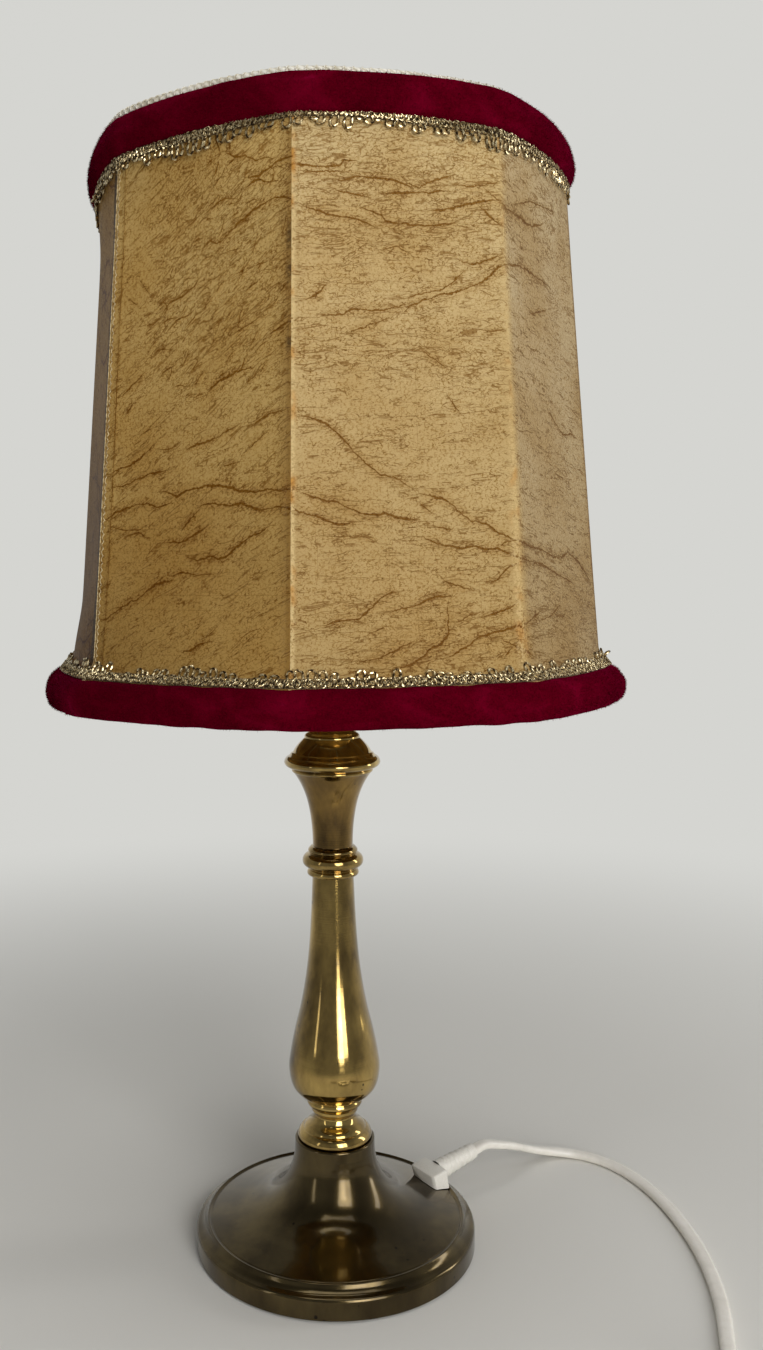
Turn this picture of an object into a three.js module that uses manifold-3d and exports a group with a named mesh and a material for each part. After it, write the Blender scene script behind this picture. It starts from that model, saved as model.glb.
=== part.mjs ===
// Table lamp: a turned brass column on a hollow brass base, a lampholder with its bulb, an eight panel
// shade sewn on a wire frame, and a flat white flex with its cord switch and plug.
// Millimetres, +Z up, origin at the centre of the underside, front of the lamp towards -Y.

import * as THREE from "three";
import { mergeVertices } from "three/addons/utils/BufferGeometryUtils.js";
import Module from "manifold-3d";

const wasm = await Module();
wasm.setup();

// Clearances
const FIT = 0.3; // round a piece that seats in, turns in or meets another
const SCREW_FIT = 0.45; // between the bulb's screw cap and the lampholder's shell

// Base
const FELT_INSET = 3.5; // of the felt from the rim
const FELT_THICKNESS = 1.5;
const DISC_THICKNESS = 1.25;
const BASE_RADIUS = 61;
const RIM_FOOT = 1; // the metal rim ends this far above the table
const RIM_HEIGHT = 9.6;
const SHELL_WALL = 1.8;
const LIP_INSET = 5.4; // from the rim to the raised line round the low cone
const LIP_HEIGHT = 13.2;
const GROOVE_WIDTH = 1;
const GROOVE_DEPTH = 1;
const NECK_RADIUS = 17.4;
const NECK_TOP = 47;
const NECK_LIP = 1.3; // width of the neck's rim round the column foot
const SEAT_DEPTH = 1.5;
const SEAT_PLATE = 2.5;
const WEIGHT_OUTER = 41;
const WEIGHT_INNER = 20;
const WEIGHT_THICKNESS = 5;

// Column: turned pieces on one threaded tube
const TUBE_RADIUS = 5;
const TUBE_BORE = 4;
const TUBE_TAIL = 3; // below the nut
const NUT_ACROSS = 14;
const NUT_HEIGHT = 4;
const WASHER_RADIUS = 11;
const WASHER_THICKNESS = 1.25;
const FOOT_HEIGHT = 11.75;
const FOOT_NECK = 9.2;
const VASE_HEIGHT = 106;
const VASE_BELLY = 19.8;
const VASE_BEAD = 12;
const VASE_TOP = 8.9;
const COLLAR_HEIGHT = 13;
const COLLAR_RADIUS = 13.1;
const COLLAR_BEAD = 10.5;
const FLARE_HEIGHT = 32;
const FLARE_NECK = 8.6;
const FLARE_MOUTH = 16.7;
const BRIM_HEIGHT = 7;
const BRIM_RADIUS = 20.5;
const DOME_HEIGHT = 14;
const DOME_BEAD = 11.5;
const DOME_NECK = 9.6;

// Lampholder and bulb
const HOLDER_CAP_HEIGHT = 21;
const HOLDER_RADIUS = 20.3;
const HOLDER_WALL = 1.4;
const SKIRT_RADIUS = 19.6;
const SKIRT_HEIGHT = 36.5;
const SKIRT_WALL = 2.4;
const INSULATOR_HEIGHT = 10;
const SCREW_SHELL_HEIGHT = 22;
const SCREW_SHELL_WALL = 0.6;
const BULB_CAP_RADIUS = 13.1;
const BULB_CAP_HEIGHT = 26;
const BULB_CAP_WALL = 1;
const BULB_GLASS_RADIUS = 30;
const BULB_LENGTH = 104;
const BULB_GLASS_WALL = 1;
const CONTACT_LIFT = 2.7; // the sprung tongue stands this high above the insulator
const SHOULDER_Z = 12.5; // the shade's lower ring above the foot of the skirt
const SHOULDER_RADIUS = 29;
const SHOULDER_THICKNESS = 4;
const RING_NUT_RADIUS = 27.5;
const RING_NUT_HEIGHT = 7;
const RING_NUT_NOTCHES = 10;

// Shade, in its own group with height 0 at its lowest edge
const RIBS = 8;
const SHADE_TURN = -5; // degrees from the front to the first rib
const SHADE_HEIGHT = 219.5;
const SHADE_RECESS = 26.25; // from the lowest edge up to the carrier
const COVER_TOP_RADIUS = 94.7; // outside of the cover at a rib
const COVER_BOTTOM_RADIUS = 112.4;
const COVER_THICKNESS = 0.8;
const SEAM_GAP = 0.5;
const ROUNDNESS = 0.57; // share of a true circle in the rings' outline, the rest is an octagon
const RING_FLARE = 6.8; // the bottom ring stands this much outside the line of the ribs
const FLARE_START = 21;
const FLARE_END = 8;
const RING_WIRE = 1.5;
const RIB_WIRE = 1.25;
const CARRIER_OUTER = 33;
const CARRIER_THICKNESS = 1.25;
const CARRIER_ARMS = 4;
const WELD_DEPTH = 0.3; // of an arm into the ring above it
const TAPE_THICKNESS = 0.5;
const TAPE_LEG = 7;
const BAND_HEIGHT = 14.5;
const BAND_LAP = 1; // the bottom band reaches this far below the cover
const BAND_TOP_HEIGHT = 13.1;
const BAND_TOP_DROP = 2; // of the top band's upper edge below the tape
const BAND_STAND = 3.6; // how far the padded band stands out
const BRAID_HEIGHT = 6.5;
const BRAID_THICKNESS = 1.3;

// Flex and what is on it
const FLEX_WIDTH = 6;
const FLEX_THICKNESS = 3.8;
const BUSHING_INSET = 12.4; // from the rim to the middle of the bushing
const BUSHING_ANGLE = 28.5; // round the lamp from +X
const BUSHING_AIM = 38; // direction in which the flex leaves
const BUSHING_RISE = 8;
const BUSHING_WIDTH = 16;
const BUSHING_LENGTH = 9;
const BUSHING_HEIGHT = 4.2; // centre of the flex above the lip of the cone
const BUSHING_TOP = 4; // of the block above the centre of the flex
const BUSHING_DEPTH = 7; // of the block below it, where it is cut to the cone
const BUSHING_STEM = 8;
const SLEEVE_LENGTH = 22;
const SLEEVE_BUTT = 4.6;
const SLEEVE_TIP = 3.5;
const FLEX_LOW = FLEX_THICKNESS / 2 + 0.1; // centre of the flex where it lies on the table
const SWITCH_LENGTH = 64;
const SWITCH_WIDTH = 26;
const SWITCH_HEIGHT = 15.5;
const SWITCH_SPLIT = 7;
const SWITCH_WALL = 2;
const SWITCH_X = 145.5;
const SWITCH_Y = -142;
const ROCKER_LENGTH = 15;
const ROCKER_WIDTH = 9;
const ROCKER_TOP = 3.5; // above the pin
const ROCKER_TILT = 8; // degrees either side of level
const ROCKER_PIN = 1.25;
const COIL_X = 78;
const COIL_Y = -172;
const COIL_RADIUS = 43;
const COIL_PITCH = 6.6;
const COIL_TURNS = 3; // in each of the two layers
const COIL_LAYER = 4.4;
const COIL_LIFT = 1; // room for the tie below the turns
const TIE_WIDTH = 4;
const TIE_THICKNESS = 0.5;
const PLUG_WIDTH = 26;
const PLUG_THICKNESS = 13.5;
const PLUG_LENGTH = 36;
const PIN_SPACING = 18.6;
const PIN_RADIUS = 2;
const PIN_LENGTH = 19;
const PIN_SEAT = 6;

// Facets
const BASE_SIDES = 32;
const COLUMN_SIDES = 24;
const HOLDER_SIDES = 20;
const PANEL_COLUMNS = 4; // across each panel of the cover, and in its rings between two ribs

// Radii of the base that follow its rim
const FELT_RADIUS = BASE_RADIUS - FELT_INSET;
const LIP_RADIUS = BASE_RADIUS - LIP_INSET;
const BUSHING_RADIUS = BASE_RADIUS - BUSHING_INSET;

// Heights that follow from the stack
const SEAT_Z = NECK_TOP - SEAT_DEPTH;
const VASE_Z = SEAT_Z + FOOT_HEIGHT;
const COLLAR_Z = VASE_Z + VASE_HEIGHT;
const FLARE_Z = COLLAR_Z + COLLAR_HEIGHT;
const BRIM_Z = FLARE_Z + FLARE_HEIGHT;
const DOME_Z = BRIM_Z + BRIM_HEIGHT;
const HOLDER_Z = DOME_Z + DOME_HEIGHT;
const SKIRT_Z = HOLDER_Z + HOLDER_CAP_HEIGHT;
const INSULATOR_Z = SKIRT_Z - 4;
const CONTACT_Z = INSULATOR_Z + INSULATOR_HEIGHT;
const BULB_Z = CONTACT_Z + CONTACT_LIFT + FIT;
const SHOULDER_TOP = SKIRT_Z + SHOULDER_Z + SHOULDER_THICKNESS;
const CARRIER_Z = SHOULDER_TOP + FIT;
const SHADE_Z = CARRIER_Z - SHADE_RECESS;
const WASHER_Z = SEAT_Z - SEAT_PLATE - WASHER_THICKNESS;
const NUT_Z = WASHER_Z - NUT_HEIGHT;
const TUBE_Z = NUT_Z - TUBE_TAIL;
const TUBE_TOP = HOLDER_Z + 8;
const WEIGHT_Z = FELT_THICKNESS + DISC_THICKNESS;

// Finishes
const finish = (color, roughness, metalness = 0) => () =>
  new THREE.MeshStandardMaterial({ color, roughness, metalness });
const antiqueBrass = finish("#6b5f3c", 0.35, 0.9);
const polishedBrass = finish("#b08a3e", 0.22, 1);
const castIron = finish("#4a4a48", 0.75, 0.6);
const steel = finish("#9a9a96", 0.4, 1);
const felt = finish("#3c4a34", 0.95);
const fibreboard = finish("#6e5b45", 0.9);
const ceramic = finish("#e8e4d8", 0.5);
const opalGlass = finish("#f4f2ea", 0.25);
const parchment = finish("#b08a4c", 0.7);
const velvet = finish("#7a0733", 0.9);
const gimp = finish("#a8946a", 0.45, 0.5);
const cotton = finish("#e6e2d6", 0.9);
const whitePlastic = finish("#eceae4", 0.4);
const nickel = finish("#c9c6bd", 0.25, 1);

const degrees = THREE.MathUtils.degToRad;
const at = (x, y) => new THREE.Vector2(x, y);
const place = (x, y, z) => new THREE.Vector3(x, y, z);
const smooth = (t) => THREE.MathUtils.smoothstep(t, 0, 1);

const lamp = new THREE.Group();
const shade = new THREE.Group();
shade.position.z = SHADE_Z;
shade.rotation.z = degrees(SHADE_TURN);
lamp.add(shade);

function addPiece(parent, name, geometry, material, z = 0) {
  const mesh = new THREE.Mesh(geometry, material());
  mesh.name = name;
  mesh.position.z = z;
  parent.add(mesh);
  return mesh;
}

// Solids and booleans

function solid(geometry) {
  const bare = geometry.clone();
  bare.deleteAttribute("normal");
  bare.deleteAttribute("uv");
  const merged = mergeVertices(bare, 1e-4);
  const mesh = new wasm.Mesh({
    numProp: 3,
    vertProperties: new Float32Array(merged.attributes.position.array),
    triVerts: new Uint32Array(merged.index.array),
  });
  return new wasm.Manifold(mesh);
}

function geometryOf(manifold) {
  const mesh = manifold.getMesh();
  const corners = new Float32Array(mesh.numVert * 3);
  for (let i = 0; i < mesh.numVert; i += 1) {
    const start = i * mesh.numProp;
    corners.set(mesh.vertProperties.subarray(start, start + 3), i * 3);
  }
  const geometry = new THREE.BufferGeometry();
  geometry.setAttribute("position", new THREE.BufferAttribute(corners, 3));
  geometry.setIndex(new THREE.BufferAttribute(new Uint32Array(mesh.triVerts), 1));
  geometry.computeVertexNormals();
  return geometry;
}

function joined(geometries) {
  return geometryOf(geometries.map(solid).reduce((all, next) => all.add(next)));
}

function cut(geometry, tools) {
  return geometryOf(tools.map(solid).reduce((rest, tool) => rest.subtract(tool), solid(geometry)));
}

// A profile of radius and height turned about the Z axis. It closes on itself or starts and ends on the axis.
function turned(profile, segments) {
  return new THREE.LatheGeometry(profile, segments).rotateX(Math.PI / 2);
}

// A hollow turned piece: the outline runs up the outside, and the bore runs back down.
function turnedWithBore(outline, bore, segments) {
  const top = outline[outline.length - 1].y;
  const bottom = outline[0].y;
  return turned([...outline, at(bore, top), at(bore, bottom), outline[0].clone()], segments);
}

function ringSection(inner, outer, low, high) {
  return [at(outer, low), at(outer, high), at(inner, high), at(inner, low), at(outer, low)];
}

// An oval section for a flat flex, its thickness along x and its width along y.
function oval(width, thickness, sides) {
  const corners = [];
  for (let i = 0; i < sides; i += 1) {
    const angle = (2 * Math.PI * i) / sides;
    corners.push(at((Math.cos(angle) * thickness) / 2, (Math.sin(angle) * width) / 2));
  }
  return new THREE.Shape(corners);
}

// Keeps the wide side of the flex level along its way.
function lyingFlat(curve) {
  curve.computeFrenetFrames = (steps) => {
    const frames = { tangents: [], normals: [], binormals: [] };
    for (let i = 0; i <= steps; i += 1) {
      const tangent = curve.getTangentAt(i / steps);
      const side = tangent.clone().cross(place(0, 0, 1)).normalize();
      frames.tangents.push(tangent);
      frames.normals.push(side.clone().cross(tangent));
      frames.binormals.push(side);
    }
    return frames;
  };
  return curve;
}

function flexThrough(points, steps) {
  return flexAlong(lyingFlat(new THREE.CatmullRomCurve3(points, false, "centripetal")), steps);
}

function flexAlong(curve, steps, sides = 8) {
  return new THREE.ExtrudeGeometry(oval(FLEX_WIDTH, FLEX_THICKNESS, sides), {
    steps,
    extrudePath: curve,
    bevelEnabled: false,
  });
}

function wireAlong(curve, radius, steps, sides = 8) {
  return new THREE.ExtrudeGeometry(oval(2 * radius, 2 * radius, sides), {
    steps,
    extrudePath: curve,
    bevelEnabled: false,
  });
}

// Base

function feltPad() {
  const edge = at(FELT_RADIUS, 0);
  return turned([at(0, 0), edge, at(FELT_RADIUS, FELT_THICKNESS), at(0, FELT_THICKNESS)], BASE_SIDES);
}

function bottomDisc() {
  const radius = BASE_RADIUS - SHELL_WALL - FIT;
  return turned(
    [at(0, 0), at(radius, 0), at(radius, DISC_THICKNESS), at(0, DISC_THICKNESS)],
    BASE_SIDES,
  );
}

// The outside of the base from the rim's foot over the low cone and up the bell to the neck, drawn in by
// the given distance for the inner wall, or out by it where another piece is cut to fit.
function baseOutline(inset) {
  const path = new THREE.Path();
  const radius = BASE_RADIUS - inset;
  const shoulder = RIM_HEIGHT - inset;
  const groove = LIP_RADIUS - GROOVE_WIDTH;
  const cone = LIP_HEIGHT - inset;
  const neck = NECK_RADIUS - inset;
  path.moveTo(radius, RIM_FOOT);
  path.lineTo(radius, shoulder - 1.6);
  path.quadraticCurveTo(radius, shoulder, radius - 1.4, shoulder);
  if (inset <= 0) {
    path.quadraticCurveTo(LIP_RADIUS + 1.6, shoulder + 0.6, LIP_RADIUS + 0.6 - inset, cone - 0.5);
    path.quadraticCurveTo(LIP_RADIUS + 0.2, cone, LIP_RADIUS - 0.3, cone - 0.3);
    path.lineTo(groove, cone - GROOVE_DEPTH);
    path.lineTo(groove - 0.7, cone - 0.3);
  } else {
    path.lineTo(groove, cone - GROOVE_DEPTH);
  }
  path.splineThru([
    at(groove * 0.77, cone + 2.7),
    at(groove * 0.55, cone + 6.6),
    at(neck + 4, cone + 15),
    at(neck, NECK_TOP - 5),
  ]);
  return path;
}

function baseShell(bushing) {
  const outer = baseOutline(0);
  outer.lineTo(NECK_RADIUS, NECK_TOP - 0.6);
  outer.quadraticCurveTo(NECK_RADIUS, NECK_TOP, NECK_RADIUS - 0.6, NECK_TOP);
  outer.lineTo(NECK_RADIUS - NECK_LIP, NECK_TOP);
  outer.lineTo(NECK_RADIUS - NECK_LIP, SEAT_Z);
  outer.lineTo(TUBE_RADIUS + FIT, SEAT_Z);
  outer.lineTo(TUBE_RADIUS + FIT, SEAT_Z - SEAT_PLATE);
  outer.lineTo(NECK_RADIUS - SHELL_WALL, SEAT_Z - SEAT_PLATE);
  const inner = baseOutline(SHELL_WALL).getPoints(1);
  const profile = [...outer.getPoints(2), ...inner.reverse(), at(BASE_RADIUS, RIM_FOOT)];
  const side = BUSHING_STEM + 2 * FIT;
  const hole = new THREE.BoxGeometry(side, side, 30);
  hole.rotateZ(degrees(BUSHING_ANGLE));
  hole.translate(bushing.x, bushing.y, LIP_HEIGHT);
  return cut(turned(profile, BASE_SIDES), [hole]);
}

function weightRing() {
  return turned(ringSection(WEIGHT_INNER, WEIGHT_OUTER, 0, WEIGHT_THICKNESS), COLUMN_SIDES);
}

function washer() {
  return turned(ringSection(TUBE_RADIUS + FIT, WASHER_RADIUS, 0, WASHER_THICKNESS), HOLDER_SIDES);
}

function hexNut() {
  const corners = NUT_ACROSS / Math.sqrt(3);
  const body = new THREE.CylinderGeometry(corners, corners, NUT_HEIGHT, 6).rotateX(Math.PI / 2);
  const bore = TUBE_RADIUS + FIT;
  const hole = new THREE.CylinderGeometry(bore, bore, 2 * NUT_HEIGHT, HOLDER_SIDES).rotateX(Math.PI / 2);
  return cut(body, [hole]).translate(0, 0, NUT_HEIGHT / 2);
}

function threadedTube() {
  return turned(ringSection(TUBE_BORE, TUBE_RADIUS, 0, TUBE_TOP - TUBE_Z), HOLDER_SIDES);
}

// Column

const columnBore = TUBE_RADIUS + FIT;

function columnFoot() {
  const radius = NECK_RADIUS - NECK_LIP - FIT;
  const path = new THREE.Path();
  path.moveTo(radius, 0);
  path.lineTo(radius, SEAT_DEPTH);
  path.quadraticCurveTo(radius + 0.8, SEAT_DEPTH + 2.6, radius - 1.6, SEAT_DEPTH + 4.6);
  path.lineTo(radius - 2.2, SEAT_DEPTH + 4.6);
  path.bezierCurveTo(radius - 3, FOOT_HEIGHT - 3, FOOT_NECK + 0.4, FOOT_HEIGHT - 3, FOOT_NECK, FOOT_HEIGHT);
  return turnedWithBore(path.getPoints(3), columnBore, COLUMN_SIDES);
}

function columnVase() {
  const bead = VASE_BEAD;
  const path = new THREE.Path();
  path.moveTo(FOOT_NECK, 0);
  path.quadraticCurveTo(FOOT_NECK + 0.1, 1.2, bead - 1.8, 2.4);
  path.lineTo(bead - 1.8, 3.6);
  path.quadraticCurveTo(bead - 1.4, 4.2, bead - 0.6, 4.6);
  path.quadraticCurveTo(bead + 0.6, 6.4, bead - 0.6, 7.8);
  path.splineThru([
    at(VASE_BELLY * 0.79, VASE_HEIGHT * 0.096),
    at(VASE_BELLY * 0.93, VASE_HEIGHT * 0.131),
    at(VASE_BELLY, VASE_HEIGHT * 0.2),
    at(VASE_BELLY * 0.96, VASE_HEIGHT * 0.268),
    at((VASE_BELLY + VASE_TOP) / 2, VASE_HEIGHT * 0.466),
    at(VASE_TOP + 1.8, VASE_HEIGHT * 0.696),
    at(VASE_TOP, VASE_HEIGHT),
  ]);
  return turnedWithBore(path.getPoints(2), columnBore, COLUMN_SIDES);
}

function columnCollar() {
  const bead = COLLAR_BEAD;
  const third = COLLAR_HEIGHT / 13;
  const path = new THREE.Path();
  path.moveTo(VASE_TOP, 0);
  path.quadraticCurveTo(bead + 1, 0.4 * third, bead + 0.1, 2.9 * third);
  path.lineTo(bead - 0.4, 3.2 * third);
  path.lineTo(bead + 0.6, 4 * third);
  path.quadraticCurveTo(COLLAR_RADIUS + 0.3, 5 * third, COLLAR_RADIUS, 7.3 * third);
  path.quadraticCurveTo(COLLAR_RADIUS - 0.4, 9 * third, bead + 0.6, 9.8 * third);
  path.lineTo(bead - 0.4, 10.2 * third);
  path.quadraticCurveTo(bead + 1, 11.4 * third, FLARE_NECK + 0.6, 13 * third);
  return turnedWithBore(path.getPoints(2), columnBore, COLUMN_SIDES);
}

function columnFlare() {
  const path = new THREE.Path();
  path.moveTo(FLARE_NECK, 0);
  path.splineThru([
    at(FLARE_NECK + 0.5, FLARE_HEIGHT * 0.3),
    at(FLARE_NECK + 2.6, FLARE_HEIGHT * 0.67),
    at(FLARE_MOUTH - 2.8, FLARE_HEIGHT * 0.86),
    at(FLARE_MOUTH, FLARE_HEIGHT),
  ]);
  return turnedWithBore(path.getPoints(2), columnBore, COLUMN_SIDES);
}

function columnBrim() {
  const path = new THREE.Path();
  path.moveTo(FLARE_MOUTH, 0);
  path.quadraticCurveTo(FLARE_MOUTH + 1, 0.8, FLARE_MOUTH + 0.4, 1.6);
  path.lineTo(FLARE_MOUTH + 1.4, 2.2);
  path.quadraticCurveTo(BRIM_RADIUS, 2.8, BRIM_RADIUS, 4.6);
  path.quadraticCurveTo(BRIM_RADIUS - 0.4, BRIM_HEIGHT - 0.6, BRIM_RADIUS - 1.8, BRIM_HEIGHT);
  return turnedWithBore(path.getPoints(3), columnBore, COLUMN_SIDES);
}

function columnDome() {
  const path = new THREE.Path();
  path.moveTo(BRIM_RADIUS - 2, 0);
  path.lineTo(BRIM_RADIUS - 3, 1.4);
  path.lineTo(BRIM_RADIUS - 3.6, 1.6);
  path.quadraticCurveTo(DOME_BEAD + 3.4, 4.4, DOME_BEAD + 0.2, DOME_HEIGHT * 0.56);
  path.quadraticCurveTo(DOME_BEAD + 0.6, DOME_HEIGHT * 0.64, DOME_BEAD - 0.8, DOME_HEIGHT * 0.7);
  path.quadraticCurveTo(DOME_NECK + 0.2, DOME_HEIGHT * 0.76, DOME_NECK, DOME_HEIGHT);
  return turnedWithBore(path.getPoints(2), columnBore, COLUMN_SIDES);
}

// Lampholder

function holderCap() {
  const inner = HOLDER_RADIUS - HOLDER_WALL;
  const path = new THREE.Path();
  path.moveTo(DOME_NECK - 0.6, 0);
  path.lineTo(DOME_NECK - 0.6, 3);
  path.quadraticCurveTo(HOLDER_RADIUS, 5, HOLDER_RADIUS, 13);
  path.lineTo(HOLDER_RADIUS, HOLDER_CAP_HEIGHT);
  path.lineTo(inner, HOLDER_CAP_HEIGHT);
  path.lineTo(inner, 13);
  path.quadraticCurveTo(inner, 7.4, DOME_NECK, 6.6);
  path.lineTo(columnBore, 6.6);
  path.lineTo(columnBore, 0);
  path.lineTo(DOME_NECK - 0.6, 0);
  return turned(path.getPoints(3), HOLDER_SIDES);
}

function holderSkirt() {
  const bore = SKIRT_RADIUS - SKIRT_WALL;
  return turned(ringSection(bore, SKIRT_RADIUS, 0, SKIRT_HEIGHT), HOLDER_SIDES);
}

function holderInsulator() {
  const radius = SKIRT_RADIUS - SKIRT_WALL - FIT;
  return turned(
    [at(0, 0), at(radius, 0), at(radius, INSULATOR_HEIGHT), at(0, INSULATOR_HEIGHT)],
    HOLDER_SIDES,
  );
}

function screwShell() {
  const inner = BULB_CAP_RADIUS + SCREW_FIT;
  return turned(ringSection(inner, inner + SCREW_SHELL_WALL, 0, SCREW_SHELL_HEIGHT), HOLDER_SIDES);
}

// A sprung tongue bent up from its foot on the insulator.
function centreContact() {
  const thick = 0.6;
  const tongue = new THREE.Shape([
    at(-9, 0),
    at(-4, 0),
    at(1, CONTACT_LIFT - thick),
    at(4, CONTACT_LIFT - thick),
    at(4, CONTACT_LIFT),
    at(0.6, CONTACT_LIFT),
    at(-4.3, thick),
    at(-9, thick),
  ]);
  const geometry = new THREE.ExtrudeGeometry(tongue, { depth: 5, bevelEnabled: false });
  return geometry.translate(0, 0, -2.5).rotateX(Math.PI / 2);
}

function shadeShoulder() {
  const bore = SKIRT_RADIUS + FIT;
  return turned(ringSection(bore, SHOULDER_RADIUS, 0, SHOULDER_THICKNESS), HOLDER_SIDES);
}

// The clamping ring has finger notches round its edge.
function ringNut() {
  const bore = SKIRT_RADIUS + FIT;
  const body = turned(ringSection(bore, RING_NUT_RADIUS, 0, RING_NUT_HEIGHT), HOLDER_SIDES);
  const notches = [];
  for (let i = 0; i < RING_NUT_NOTCHES; i += 1) {
    const notch = new THREE.CylinderGeometry(2, 2, 3 * RING_NUT_HEIGHT, 6).rotateX(Math.PI / 2);
    notch.translate(RING_NUT_RADIUS + 0.4, 0, 0);
    notches.push(notch.rotateZ((2 * Math.PI * i) / RING_NUT_NOTCHES));
  }
  return cut(body, notches);
}

// Bulb

function bulbCap() {
  const wall = BULB_CAP_WALL;
  const radius = BULB_CAP_RADIUS;
  const outside = [at(4.6, 0), at(4.8, 1), at(radius - 2.4, 3.4), at(radius, 4.8), at(radius, BULB_CAP_HEIGHT)];
  const inside = [at(radius - wall, BULB_CAP_HEIGHT), at(radius - wall, 6.4), at(0, 5)];
  return turned([at(0, 0), ...outside, ...inside], HOLDER_SIDES);
}

// The glass is open at the foot of its neck, inside the cap.
function bulbGlass() {
  const neck = BULB_CAP_RADIUS - BULB_CAP_WALL - FIT;
  const foot = BULB_CAP_HEIGHT - 10;
  const centre = BULB_LENGTH - BULB_GLASS_RADIUS;
  const shell = (inset) => {
    const path = new THREE.Path();
    const radius = BULB_GLASS_RADIUS - inset;
    path.moveTo(neck - inset, foot);
    path.lineTo(neck - inset, BULB_CAP_HEIGHT + 2);
    path.bezierCurveTo(neck - inset, BULB_CAP_HEIGHT + 16, radius, centre - 18, radius, centre);
    path.absarc(0, centre, radius, 0, Math.PI / 2, false);
    return path.getPoints(3);
  };
  const outer = shell(0);
  return turned([...outer, ...shell(BULB_GLASS_WALL).reverse(), outer[0].clone()], HOLDER_SIDES);
}

// Shade

// Radius of a ring or cover outline at an angle, as a share of its radius at the ribs.
function outline(angle, roundness) {
  const step = (2 * Math.PI) / RIBS;
  const local = THREE.MathUtils.euclideanModulo(angle, step) - step / 2;
  return roundness + ((1 - roundness) * Math.cos(step / 2)) / Math.cos(local);
}

// The panels are flat between the ribs at mid height and follow the rounder rings at both ends.
const FLAT_LOW = 58;
const FLAT_HIGH = 169;

function coverRoundness(h) {
  const fromBottom = smooth((FLAT_LOW - h) / (FLAT_LOW - BAND_HEIGHT));
  const fromTop = smooth((h - FLAT_HIGH) / (SHADE_HEIGHT - BAND_HEIGHT - FLAT_HIGH));
  return ROUNDNESS * (fromBottom + fromTop);
}

const coverTop = SHADE_HEIGHT - TAPE_THICKNESS - FIT;
const coverBottom = BAND_LAP;
const topWireZ = coverTop - RING_WIRE;
const bottomWireZ = coverBottom + RING_WIRE;
const wireInset = COVER_THICKNESS + FIT + RING_WIRE;

// Heights of the cover's rows. What lies on the cover or in it follows them.
const coverRows = [
  coverBottom,
  FLARE_END,
  (FLARE_END + FLARE_START) / 2,
  FLARE_START,
  (FLARE_START + FLAT_LOW) / 2,
  FLAT_LOW,
  FLAT_HIGH,
  (FLAT_HIGH + SHADE_HEIGHT - BAND_HEIGHT) / 2,
  SHADE_HEIGHT - BAND_HEIGHT,
  coverTop,
];

function rowRadius(h) {
  const straight = THREE.MathUtils.lerp(COVER_BOTTOM_RADIUS, COVER_TOP_RADIUS, h / SHADE_HEIGHT);
  return straight + RING_FLARE * smooth((FLARE_START - h) / (FLARE_START - FLARE_END));
}

// Outside radius of the cover at a rib, at height h above the shade's lowest edge.
function coverRadius(h) {
  const found = coverRows.findIndex((row) => row > h);
  const next = found < 0 ? coverRows.length - 1 : Math.max(found, 1);
  const low = coverRows[next - 1];
  const high = coverRows[next];
  return THREE.MathUtils.mapLinear(h, low, high, rowRadius(low), rowRadius(high));
}

// Points on the cover's outside at a rib between two heights, at a distance from it.
function coverLine(low, high, gap) {
  const between = coverRows.filter((row) => row > low && row < high);
  return [low, ...between, high].map((h) => at(coverRadius(h) + gap, h));
}

// Turns a profile and then draws it in between the ribs to the outline of the rings.
function ringed(profile) {
  const geometry = turned(profile, PANEL_COLUMNS * RIBS);
  const corners = geometry.attributes.position;
  for (let i = 0; i < corners.count; i += 1) {
    const share = outline(Math.atan2(corners.getY(i), corners.getX(i)), ROUNDNESS);
    corners.setXY(i, corners.getX(i) * share, corners.getY(i) * share);
  }
  return geometry;
}

function ringWire(h) {
  const path = new THREE.Path();
  path.absarc(coverRadius(h) - wireInset, h, RING_WIRE, 0, 2 * Math.PI, false);
  return ringed(path.getPoints(3));
}

// A path of straight runs, with one step of the section at each of its points.
class Polyline extends THREE.Curve {
  constructor(points) {
    super();
    this.points = points;
  }

  getUtoTmapping(u) {
    return u;
  }

  getPoint(t) {
    const last = this.points.length - 1;
    const index = THREE.MathUtils.clamp(Math.floor(t * last), 0, last - 1);
    return this.points[index].clone().lerp(this.points[index + 1], t * last - index);
  }
}

function rib(index) {
  const angle = (2 * Math.PI * index) / RIBS;
  const clear = RING_WIRE + FIT;
  const inset = -COVER_THICKNESS - FIT - RIB_WIRE;
  const bent = coverLine(bottomWireZ + clear, FLARE_START, inset);
  const line = [...bent, ...coverLine(topWireZ - clear, topWireZ - clear, inset).slice(1)];
  const points = line.map((spot) => place(spot.x * Math.cos(angle), spot.x * Math.sin(angle), spot.y));
  return wireAlong(new Polyline(points), RIB_WIRE, points.length - 1, 6);
}

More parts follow.
